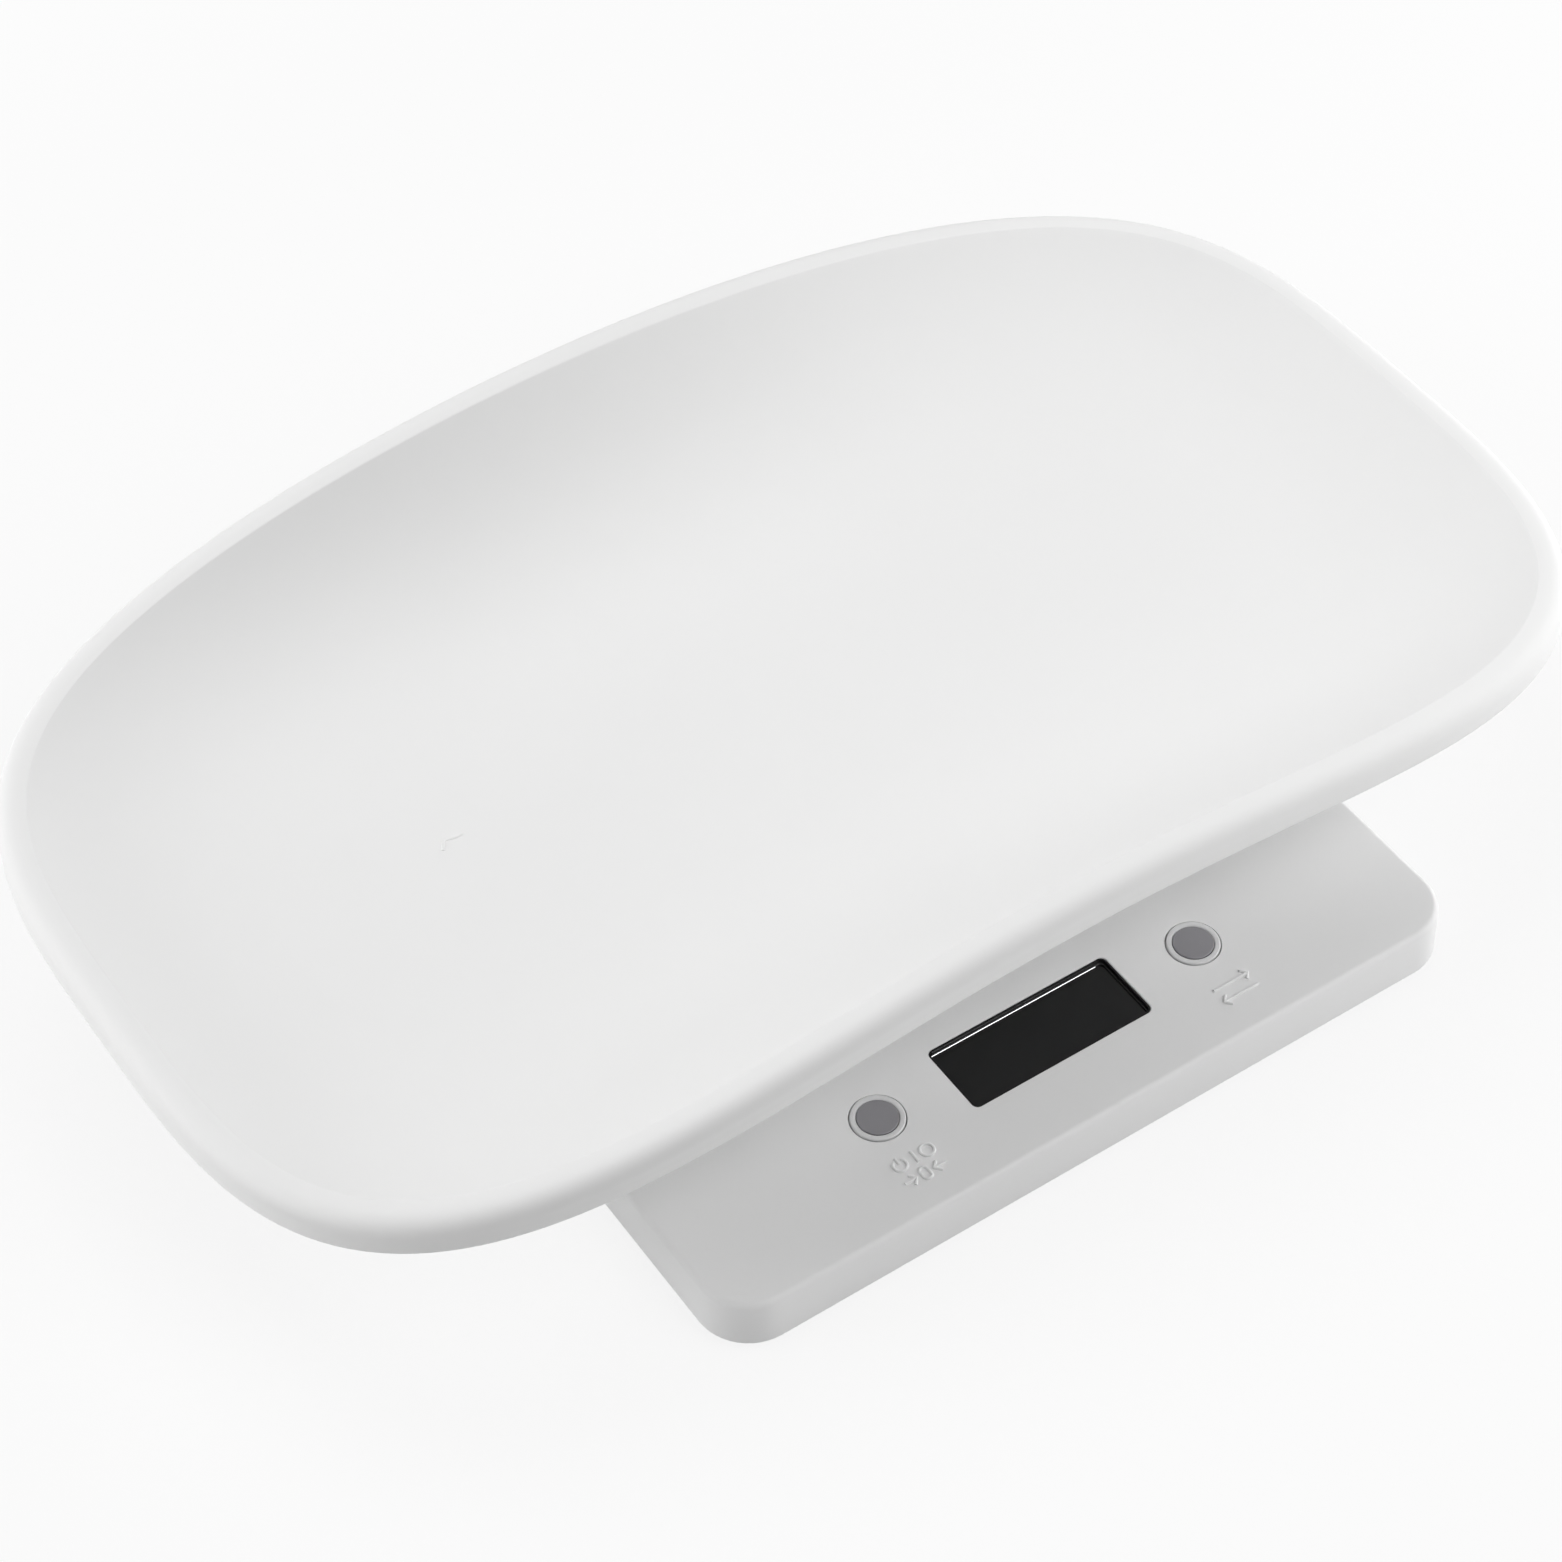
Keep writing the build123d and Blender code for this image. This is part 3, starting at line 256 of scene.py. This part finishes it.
def solid_from(name, points, faces, body, replaced=(), sharp=35.0):
    """A smooth-shaded piece from points in mm; edges that turn more than sharp degrees stay crisp."""
    mesh = bpy.data.meshes.new(name)
    mesh.from_pydata((np.asarray(points) * MM).tolist(), [], faces)
    mesh.validate()
    mesh.polygons.foreach_set("use_smooth", [True] * len(mesh.polygons))
    mesh.set_sharp_from_angle(angle=radians(sharp))
    mesh.update()
    piece = bpy.data.objects.new(name, mesh)
    bpy.context.scene.collection.objects.link(piece)
    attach(piece, body)
    if replaced:
        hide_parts(*replaced)


def ring_faces(rings, count, closed=False):
    """Quads between neighbouring rings of count points each; closed joins the last ring to the first."""
    ring = np.arange(rings if closed else rings - 1)[:, None]
    step = np.arange(count)[None, :]
    here = ring * count + step
    beside = ring * count + (step + 1) % count
    above = ((ring + 1) % rings) * count + step
    above_beside = ((ring + 1) % rings) * count + (step + 1) % count
    return np.stack([here, beside, above_beside, above], axis=-1).reshape(-1, 4)


def joined(parts):
    """The points and faces of several parts as one: each part's point numbers follow the one before."""
    points, faces, start = [], [], 0
    for part_points, part_faces in parts:
        points.append(part_points)
        faces += [[number + start for number in face] for face in part_faces]
        start += len(part_points)
    return np.concatenate(points), faces


# Tray: the same outline, rim and dish as the CAD tray, on a finer grid

def outline(angle, half_length, half_width):
    """A superellipse: x and y are the half sizes times signed powers of cosine and sine."""
    along = np.sign(np.cos(angle)) * np.abs(np.cos(angle)) ** (2 / END_POWER)
    across = np.sign(np.sin(angle)) * np.abs(np.sin(angle)) ** (2 / SIDE_POWER)
    return half_length * along, half_width * across


def outline_slope(place, size, power):
    """The outline's normal along x or y: the signed share of the half size to the power less one."""
    return np.sign(place) * power * (np.abs(place) * 2 / size) ** (power - 1) / size


def even_angles(count):
    """Angles whose outline points lie evenly along the tray's edge, by running length."""
    fine = np.linspace(0, 2 * pi, FINE_AROUND)
    x, y = outline(fine, TRAY_LENGTH / 2, TRAY_WIDTH / 2)
    run = np.concatenate([[0.0], np.cumsum(np.hypot(np.diff(x), np.diff(y)))])
    return np.interp(np.arange(count) / count * run[-1], run, fine)


def crest_height(x):
    """Rim height: the middle's height less a drop that follows the square and fourth power of x."""
    share = np.clip(np.abs(x) / (TRAY_LENGTH / 2), 0, 1)
    return RIM_HEIGHT - RIM_DROP * (RIM_ARCH * share**2 - (RIM_ARCH - 1) * share**4)


class TrayRings:
    """Rings of points round the tray: on the lip by inset and drop, on the crest, and in the dish."""

    def __init__(self, count):
        angle = even_angles(count)
        self.x, self.y = outline(angle, TRAY_LENGTH / 2, TRAY_WIDTH / 2)
        slope_x = outline_slope(self.x, TRAY_LENGTH, END_POWER)
        slope_y = outline_slope(self.y, TRAY_WIDTH, SIDE_POWER)
        size = np.hypot(slope_x, slope_y)
        self.out_x, self.out_y = slope_x / size, slope_y / size
        self.floor_x, self.floor_y = outline(angle, FLOOR_LENGTH / 2, FLOOR_WIDTH / 2)
        self.bow = np.arctan(2 * CREST_FALL / CREST_FLAT)
        self.slope = np.full(count, radians(45))
        for trial in range(SLOPE_TRIALS):
            self.meet_crest()

    def meet_crest(self):
        """Lays the dish's wall up to the crest's edge, and gives the crest's edge the wall's slope there."""
        top = self.crest(1)
        self.run_x = top[:, 0] - self.floor_x
        self.run_y = top[:, 1] - LOAD_Y - self.floor_y
        self.run = np.hypot(self.run_x, self.run_y)
        self.lift = top[:, 2] - FLOOR_HEIGHT
        self.slope = np.arctan(DISH_POWER * self.lift / self.run)

    def lip(self, inset, drop):
        """Points moved in from the edge along its normal, and down from the crest's height there."""
        x, y = self.x - inset * self.out_x, self.y - inset * self.out_y
        return np.stack([x, LOAD_Y + y, crest_height(x) - drop], axis=-1)

    def quarter(self, inset, drop, radius, turn):
        """On a quarter circle that is upright at turn 0, and level and radius further in at a right angle."""
        return self.lip(inset + radius * (1 - cos(turn)), drop - radius * sin(turn))

    def crest_top(self, share):
        """The crest's top: it falls by the square of the share of its width, from level."""
        return self.lip(LIP_ROUND + CREST_FLAT * share, CREST_FALL * share**2)

    def crest(self, turn):
        """The crest's inner edge: an arc from the top's last slope, at turn 0, to the wall's, at turn 1."""
        slope = self.bow + (self.slope - self.bow) * turn
        inset = LIP_ROUND + CREST_FLAT + CREST_EDGE * (np.sin(slope) - np.sin(self.bow))
        return self.lip(inset, CREST_FALL + CREST_EDGE * (np.cos(self.bow) - np.cos(slope)))

    def under_crest(self):
        """The corner under the crest, where the wall's inner face meets the underside of the top."""
        corner = LIP_ROUND + CREST_FLAT + CREST_EDGE * np.tan(self.slope / 2)
        return self.lip(corner - TRAY_WALL * np.tan(self.slope / 2), TRAY_WALL + CREST_FALL)

    def dish(self, rise, depth):
        """From the floor's edge up to the crest: height follows a power of rise, and depth its normal."""
        slope = np.arctan(DISH_POWER * self.lift * rise ** (DISH_POWER - 1) / self.run)
        out = rise + depth * np.sin(slope) / self.run
        x = self.floor_x + self.run_x * out
        y = LOAD_Y + self.floor_y + self.run_y * out
        height = FLOOR_HEIGHT + self.lift * rise**DISH_POWER - depth * np.cos(slope)
        return np.stack([x, y, height], axis=-1)

    def floor(self, share, depth):
        """The floor's outline shrunk towards its middle."""
        level = np.full_like(self.floor_x, FLOOR_HEIGHT - depth)
        return np.stack([self.floor_x * share, LOAD_Y + self.floor_y * share, level], axis=-1)


def make_tray():
    """Rings from the dish's middle out over the lip and back underneath, closed at both middles."""
    rings = TrayRings(AROUND)
    rows = [rings.floor(share, 0) for share in FLOOR_SHARES]
    rows += [rings.dish(rise, 0) for rise in DISH_RISES]
    rows += [rings.crest(turn) for turn in CREST_TURNS]
    rows += [rings.crest_top(share) for share in CREST_SHARES]
    rows += [rings.quarter(0, LIP_ROUND, LIP_ROUND, turn) for turn in ROLL_TURNS]

    edge_top = LIP_DEPTH - LIP_EDGE
    rows += [rings.lip(0, (LIP_ROUND + edge_top) / 2)]
    rows += [rings.quarter(0, edge_top, LIP_EDGE, -turn) for turn in EDGE_TURNS]
    rows += [rings.lip(LIP_WALL - LIP_BEVEL, LIP_DEPTH), rings.lip(LIP_WALL, LIP_DEPTH - LIP_BEVEL)]

    hollow = LIP_ROUND - LIP_WALL
    rows += [rings.quarter(LIP_WALL, TRAY_WALL + hollow, hollow, turn) for turn in HOLLOW_TURNS]
    rows += [rings.under_crest()]
    rows += [rings.dish(rise, TRAY_WALL) for rise in UNDER_RISES]
    rows += [rings.floor(share, TRAY_WALL) for share in FLOOR_SHARES[::-1]]

    upper, lower = len(rows) * AROUND, len(rows) * AROUND + 1
    middles = [[0, LOAD_Y, FLOOR_HEIGHT], [0, LOAD_Y, FLOOR_HEIGHT - TRAY_WALL]]
    step = np.arange(AROUND)
    beside = (step + 1) % AROUND
    under = upper - AROUND
    faces = ring_faces(len(rows), AROUND)[:, ::-1].tolist()
    faces += np.stack([beside, np.full(AROUND, upper), step], axis=-1).tolist()
    faces += np.stack([under + step, np.full(AROUND, lower), under + beside], axis=-1).tolist()
    solid_from("tray_moulding", np.concatenate(rows + [middles]), faces, "tray", ["tray"])


def make_peg(x, y):
    """Circles of cosine and sine at three levels, the lowest smaller by the chamfer, closed by two discs."""
    seat = FLOOR_HEIGHT - TRAY_WALL
    radius = np.array([PEG_RADIUS, PEG_RADIUS, PEG_RADIUS - PEG_CHAMFER])[:, None]
    level = np.array([seat + PEG_ROOT, seat - PEG_LENGTH + PEG_CHAMFER, seat - PEG_LENGTH])[:, None]
    turn = np.linspace(0, 2 * pi, PEG_SIDES, endpoint=False)[None, :]
    circles = np.broadcast_arrays(x + radius * np.cos(turn), LOAD_Y + y + radius * np.sin(turn), level)
    faces = ring_faces(3, PEG_SIDES)[:, ::-1].tolist()
    faces += [list(range(PEG_SIDES)), list(range(2 * PEG_SIDES, 3 * PEG_SIDES))[::-1]]
    return np.stack(circles, axis=-1).reshape(-1, 3), faces


def make_pegs():
    """Four round pegs under the tray."""
    pegs = [make_peg(x, y) for x in (-PEG_X, PEG_X) for y in (-PEG_Y, PEG_Y)]
    solid_from("tray_pegs", *joined(pegs), "tray")


# Raised signs and marks: a low rounded bead carried along each stroke

def bead(path, width, height, closed=False, seat=DECK):
    """Half an ellipse carried along a flat path: across it by cosine, up by sine of one angle."""
    path = np.asarray(path, float)
    if closed:
        ahead, behind = np.roll(path, -1, axis=0), np.roll(path, 1, axis=0)
    else:
        ahead = np.concatenate([path[1:], path[-1:]])
        behind = np.concatenate([path[:1], path[:-1]])
    along = ahead - behind
    along /= np.linalg.norm(along, axis=1)[:, None]
    across = np.stack([-along[:, 1], along[:, 0]], axis=-1)
    size = len(BEAD_TURNS)
    flat = path[:, None, :] + across[:, None, :] * (width / 2 * np.cos(BEAD_TURNS))[None, :, None]
    level = np.broadcast_to(seat - BEAD_SINK + height * np.sin(BEAD_TURNS), flat.shape[:2])
    points = np.concatenate([flat, level[:, :, None]], axis=-1).reshape(-1, 3)
    faces = ring_faces(len(path), size, closed).tolist()
    if not closed:
        faces += [list(range(size))[::-1], list(range(len(points) - size, len(points)))]
    return points, faces


def arc(middle, radius, start, end, steps):
    """Points on a circle between two angles in degrees."""
    turn = np.radians(np.linspace(start, end, steps))
    return np.stack([middle[0] + radius * np.cos(turn), middle[1] + radius * np.sin(turn)], axis=-1)


def stroke(*places):
    """An open path through the given places, and that it isn't closed."""
    return np.array(places, float), False


def arrow(tip, tail, y):
    """A level arrow: its shaft and the two strokes of its head."""
    back = tip + (ARROW_HEAD if tail > tip else -ARROW_HEAD)
    shaft = stroke((tail, y), (tip, y))
    head = stroke((back, y + ARROW_HEAD), (tip, y), (back, y - ARROW_HEAD))
    return [shaft, head]


def make_icon(name, x, strokes):
    """One piece from several beads; strokes are given from the sign's own middle."""
    beads = [bead(path + (x, ICON_Y), ICON_WIDTH, ICON_RELIEF, closed) for path, closed in strokes]
    solid_from(name, *joined(beads), "base")


def make_icons():
    """Left: a power sign, a bar and a ring over a nought between arrows. Right: two opposite arrows."""
    power_middle = (POWER_X, UPPER_ROW - POWER_DROP)
    power = arc(power_middle, RING_RADIUS, 90 + POWER_GAP, 450 - POWER_GAP, POWER_STEPS)
    ring = arc((RING_X, UPPER_ROW), RING_RADIUS, 0, 360 - 360 / RING_STEPS, RING_STEPS)
    nought_top = arc((0, LOWER_ROW + NOUGHT_STRETCH), NOUGHT_RADIUS, 0, 180, NOUGHT_STEPS)
    nought_foot = arc((0, LOWER_ROW - NOUGHT_STRETCH), NOUGHT_RADIUS, 180, 360, NOUGHT_STEPS)
    signs = [
        (power, False),
        stroke((POWER_X, UPPER_ROW + POWER_DROP), (POWER_X, UPPER_ROW + POWER_STROKE)),
        stroke((BAR_X, UPPER_ROW - BAR_HALF), (BAR_X, UPPER_ROW + BAR_HALF)),
        (ring, True),
        (np.concatenate([nought_top, nought_foot]), True),
    ]
    signs += arrow(-ARROW_INNER, -ARROW_OUTER, LOWER_ROW) + arrow(ARROW_INNER, ARROW_OUTER, LOWER_ROW)
    make_icon("icon_power_zero", -BUTTON_X, signs)

    swap = arrow(SWAP_HALF, -SWAP_HALF, UPPER_ROW - SWAP_CLOSER)
    swap += arrow(-SWAP_HALF, SWAP_HALF, LOWER_ROW + SWAP_CLOSER)
    make_icon("icon_unit_swap", BUTTON_X, swap)


def make_window_highlight_strip():
    """A polished strip along the back of the window's floor, put in to give the highlight that this glossy
    edge shows: a hollow quarter circle from level to upright, carried along the edge; its ends are closed by
    the same quarter."""
    back = FRONT + WINDOW_MIDDLE + WINDOW_WIDTH / 2 - LINE_SET_BACK
    foot = WINDOW_FLOOR + LINE_LIFT
    across = np.append(back - LINE_EDGE * (1 - np.sin(LINE_TURNS)), back)
    level = np.append(foot + LINE_EDGE * (1 - np.cos(LINE_TURNS)), foot)
    ends = np.array([LINE_LEFT_END - WINDOW_LENGTH / 2, WINDOW_LENGTH / 2 - LINE_RIGHT_END])
    points = np.stack(np.broadcast_arrays(ends[:, None], across, level), axis=-1).reshape(-1, 3)
    size = len(across)
    faces = ring_faces(2, size)[:, ::-1].tolist()
    faces += [list(range(size)), list(range(size, 2 * size))[::-1]]
    solid_from("window_highlight_strip", points, faces, "base")


def make_moulding_mark():
    """A hooked burr on the dish's floor: a short straight stroke whose top turns off sideways."""
    solid_from("moulding_mark", *bead(MARK_PATH, MARK_WIDTH, MARK_RELIEF, seat=FLOOR_HEIGHT), "tray")


# Materials

def new_material(name, colour, roughness, **values):
    """A Principled material with its constants on the shader's own sockets."""
    material = bpy.data.materials.new(name)
    material.use_nodes = True
    shader = material.node_tree.nodes["Principled BSDF"]
    shader.inputs["Base Color"].default_value = (*colour, 1.0)
    shader.inputs["Roughness"].default_value = roughness
    for socket, value in values.items():
        shader.inputs[socket.replace("_", " ")].default_value = value
    return material


def node(material, kind, **values):
    """A node whose inputs are set by name, with spaces for the underscores."""
    made = material.node_tree.nodes.new(kind)
    for socket, value in values.items():
        made.inputs[socket.replace("_", " ")].default_value = value
    return made


def link(material, source, target):
    """Joins an output socket to an input socket."""
    material.node_tree.links.new(source, target)


def object_noise(material, scale, detail=2.0, stretch=(1, 1, 1)):
    """Noise on the object's own coordinates, stretched by a Mapping node."""
    place = node(material, "ShaderNodeTexCoord")
    mapping = node(material, "ShaderNodeMapping", Scale=stretch)
    noise = node(material, "ShaderNodeTexNoise", Scale=scale, Detail=detail)
    link(material, place.outputs["Object"], mapping.inputs["Vector"])
    link(material, mapping.outputs["Vector"], noise.inputs["Vector"])
    return noise


def vary_colour(material, noise, low, high):
    """Base colour runs between two near tones with the noise."""
    ramp = node(material, "ShaderNodeValToRGB")
    for element, position, colour in zip(ramp.color_ramp.elements, MOTTLE_RAMP, (low, high)):
        element.position = position
        element.color = (*colour, 1)
    shader = material.node_tree.nodes["Principled BSDF"]
    link(material, noise.outputs["Fac"], ramp.inputs["Fac"])
    link(material, ramp.outputs["Color"], shader.inputs["Base Color"])


def vary_roughness(material, noise, low, high):
    """Roughness runs between two values with the noise."""
    spread = node(material, "ShaderNodeMapRange", To_Min=low, To_Max=high)
    shader = material.node_tree.nodes["Principled BSDF"]
    link(material, noise.outputs["Fac"], spread.inputs["Value"])
    link(material, spread.outputs["Result"], shader.inputs["Roughness"])


def add_bump(material, noise, strength, distance):
    """Fine relief from the noise; distance in metres."""
    bump = node(material, "ShaderNodeBump", Strength=strength, Distance=distance)
    shader = material.node_tree.nodes["Principled BSDF"]
    link(material, noise.outputs["Fac"], bump.inputs["Height"])
    link(material, bump.outputs["Normal"], shader.inputs["Normal"])


def moulded_plastic(name, colour, roughness, grain=2600.0, relief=0.00002, **values):
    """Moulded plastic: faint slow mottling, slightly uneven gloss and a fine surface grain."""
    material = new_material(name, colour, roughness, **values)
    slow = object_noise(material, MOTTLE_SCALE, MOTTLE_DETAIL)
    fine = object_noise(material, grain)
    vary_colour(material, slow, tuple(channel * MOTTLE_SHADE for channel in colour), colour)
    vary_roughness(material, slow, *(roughness * share for share in MOTTLE_GLOSS))
    add_bump(material, fine, GRAIN_STRENGTH, relief)
    return material


def metal(name, colour, roughness, stretch):
    """Metal with drawn or turned marks: noise stretched along one direction."""
    material = new_material(name, colour, roughness, Metallic=1.0)
    marks = object_noise(material, BRUSH_SCALE, BRUSH_DETAIL, stretch)
    vary_roughness(material, marks, *(roughness * share for share in BRUSH_GLOSS))
    add_bump(material, marks, BRUSH_STRENGTH, BRUSH_RELIEF)
    return material


def window_black():
    """The display's window: nearly black, glossy, and very slightly uneven."""
    material = new_material("window_black", (0.003, 0.003, 0.0034), 0.08, Specular_IOR_Level=0.42)
    waves = object_noise(material, scale=60.0, detail=1.0)
    add_bump(material, waves, strength=0.02, distance=0.00002)
    return material


def highlight_strip_metal():
    """Bright polished metal for the strip that stands in for the highlight on the window's back edge."""
    return new_material("highlight_strip_metal", (0.92, 0.92, 0.93), 0.12, Metallic=1.0)


def board_green():
    """Solder mask with fine lighter tracks: a brick pattern's mortar lines."""
    material = new_material("board_green", MASK_GREEN, 0.35)
    place = node(material, "ShaderNodeTexCoord")
    tracks = node(
        material,
        "ShaderNodeTexBrick",
        Scale=TRACK_SCALE,
        Color1=(*MASK_GREEN, 1),
        Color2=(*MASK_GREEN, 1),
        Mortar=(*TRACK_GREEN, 1),
        Mortar_Size=TRACK_WIDTH,
    )
    shader = material.node_tree.nodes["Principled BSDF"]
    link(material, place.outputs["Object"], tracks.inputs["Vector"])
    link(material, tracks.outputs["Color"], shader.inputs["Base Color"])
    return material


def finish_node(name, material):
    """Gives a CAD node a material and smooth shading: a weld joins its triangles, and sharp edges split."""
    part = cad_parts[name]
    part.data.materials.clear()
    part.data.materials.append(material)
    part.data.polygons.foreach_set("use_smooth", [True] * len(part.data.polygons))
    weld = part.modifiers.new("weld", "WELD")
    weld.merge_threshold = WELD_DISTANCE
    split = part.modifiers.new("split", "EDGE_SPLIT")
    split.split_angle = radians(SPLIT_ANGLE)


def finish_piece(name, material):
    """Gives a new piece its material."""
    piece = bpy.data.objects[name]
    piece.data.materials.append(material)


def dress():
    """Gives every piece and every CAD node its material."""
    looks = {name: moulded_plastic(name, **values) for name, values in PLASTICS.items()}
    looks.update({name: metal(name, **values) for name, values in METALS.items()})
    looks["window_black"] = window_black()
    looks["board_green"] = board_green()

    for name in ("tray_moulding", "tray_pegs", "moulding_mark"):
        finish_piece(name, looks["tray_plastic"])
    for name in ("icon_power_zero", "icon_unit_swap"):
        finish_piece(name, looks["case_plastic"])
    # the window's strip is polished metal, put in to give the highlight on the window's back edge
    finish_piece("window_highlight_strip", highlight_strip_metal())
    for look, names in WORN_BY.items():
        for name in names:
            finish_node(name, looks[look])


# Studio

def seen_straight(tree):
    """1 for rays from the camera, a glossy surface or glass, and 0 for the light that surfaces scatter."""
    path = tree.nodes.new("ShaderNodeLightPath")
    total = path.outputs["Is Camera Ray"]
    for kind in ("Is Glossy Ray", "Is Transmission Ray"):
        either = tree.nodes.new("ShaderNodeMath")
        either.operation = "MAXIMUM"
        tree.links.new(total, either.inputs[0])
        tree.links.new(path.outputs[kind], either.inputs[1])
        total = either.outputs[0]
    return total


def floor_white():
    """Scatters the lamps' light; seen straight it is mostly plain white, with a soft shadow near the scale
    that fades out with the distance from it."""
    material = bpy.data.materials.new("floor_white")
    material.use_nodes = True
    material.node_tree.nodes.clear()
    out = node(material, "ShaderNodeOutputMaterial")
    diffuse = node(material, "ShaderNodeBsdfDiffuse", Color=(*FLOOR_COLOUR, 1))
    white = node(material, "ShaderNodeEmission", Color=(*SEEN_WHITE, 1), Strength=1.0)
    place = node(material, "ShaderNodeTexCoord")
    distance = node(material, "ShaderNodeVectorMath")
    distance.operation = "LENGTH"
    plain = node(material, "ShaderNodeMapRange", To_Min=1 - SHADOW_SHARE, To_Max=1.0)
    plain.interpolation_type = "SMOOTHSTEP"
    plain.inputs["From Min"].default_value, plain.inputs["From Max"].default_value = SHADOW_REACH
    share = node(material, "ShaderNodeMath")
    share.operation = "MULTIPLY"
    pick = node(material, "ShaderNodeMixShader")
    link(material, place.outputs["Object"], distance.inputs[0])
    link(material, distance.outputs["Value"], plain.inputs["Value"])
    link(material, plain.outputs["Result"], share.inputs[1])
    link(material, seen_straight(material.node_tree), share.inputs[0])
    link(material, share.outputs[0], pick.inputs["Fac"])
    link(material, diffuse.outputs[0], pick.inputs[1])
    link(material, white.outputs[0], pick.inputs[2])
    link(material, pick.outputs[0], out.inputs["Surface"])
    return material


def make_floor():
    """A square floor at table height."""
    mesh = bpy.data.meshes.new("floor")
    corners = [(x * FLOOR_REACH, y * FLOOR_REACH, 0) for x, y in ((-1, -1), (1, -1), (1, 1), (-1, 1))]
    mesh.from_pydata(corners, [], [(0, 1, 2, 3)])
    mesh.materials.append(floor_white())
    floor = bpy.data.objects.new("floor", mesh)
    bpy.context.scene.collection.objects.link(floor)


def make_world():
    """Even light all round at the strength WORLD_LIGHT, which is none here; what the camera, glossy surfaces
    and glass see of it is plain white.
    """
    world = bpy.data.worlds.new("studio")
    bpy.context.scene.world = world
    world.use_nodes = True
    tree = world.node_tree
    tree.nodes.clear()
    out = tree.nodes.new("ShaderNodeOutputWorld")
    light = tree.nodes.new("ShaderNodeBackground")
    light.inputs["Strength"].default_value = WORLD_LIGHT
    white = tree.nodes.new("ShaderNodeBackground")
    white.inputs["Color"].default_value = (*SEEN_WHITE, 1)
    pick = tree.nodes.new("ShaderNodeMixShader")
    tree.links.new(seen_straight(tree), pick.inputs["Fac"])
    tree.links.new(light.outputs[0], pick.inputs[1])
    tree.links.new(white.outputs[0], pick.inputs[2])
    tree.links.new(pick.outputs[0], out.inputs["Surface"])


def towards(azimuth, elevation):
    """A unit vector in a direction from the scale, azimuth 0 being its front and 90 its right."""
    a, e = radians(azimuth), radians(elevation)
    return Vector((sin(a) * cos(e), -cos(a) * cos(e), sin(e)))


def make_lamp(name, azimuth, elevation, distance, size, power):
    """A square soft lamp that faces the scale from a direction given as for the camera."""
    lamp = bpy.data.lights.new(name, "AREA")
    lamp.shape = "SQUARE"
    lamp.size = size
    lamp.energy = power
    holder = bpy.data.objects.new(name, lamp)
    bpy.context.scene.collection.objects.link(holder)
    back = towards(azimuth, elevation)
    holder.location = back * distance + Vector((0, 0, LAMP_AIM))
    holder.rotation_mode = "QUATERNION"
    holder.rotation_quaternion = (-back).to_track_quat("-Z", "Y")


def make_camera():
    """The photograph's camera: its focal length, direction and distance from the base's front edge."""
    back = towards(CAMERA_AZIMUTH, CAMERA_ELEVATION)
    right = towards(CAMERA_AZIMUTH + 90, 0)
    up = back.cross(right)
    pixel = SEEN_DEPTH / FOCAL_PIXELS
    across = (SEEN_PIXEL[0] - IMAGE_SIZE / 2) * pixel
    down = (SEEN_PIXEL[1] - IMAGE_SIZE / 2) * pixel
    place = Vector((0, FRONT, SEEN_LEVEL)) - right * across + up * down + back * SEEN_DEPTH
    data = bpy.data.cameras.new("camera")
    data.sensor_width = SENSOR_WIDTH
    data.lens = FOCAL_PIXELS / IMAGE_SIZE * SENSOR_WIDTH
    data.clip_start, data.clip_end = CLIP_RANGE
    camera = bpy.data.objects.new("camera", data)
    bpy.context.scene.collection.objects.link(camera)
    turn = Matrix((right, up, back)).transposed().to_4x4()
    camera.matrix_world = Matrix.Translation(place * MM) @ turn
    bpy.context.scene.camera = camera


make_tray()
make_pegs()
make_moulding_mark()
make_icons()
make_window_highlight_strip()
dress()
make_floor()
make_world()
for lamp, values in LAMPS.items():
    make_lamp(lamp, *values)
make_camera()
bpy.context.scene.view_settings.view_transform = "Standard"
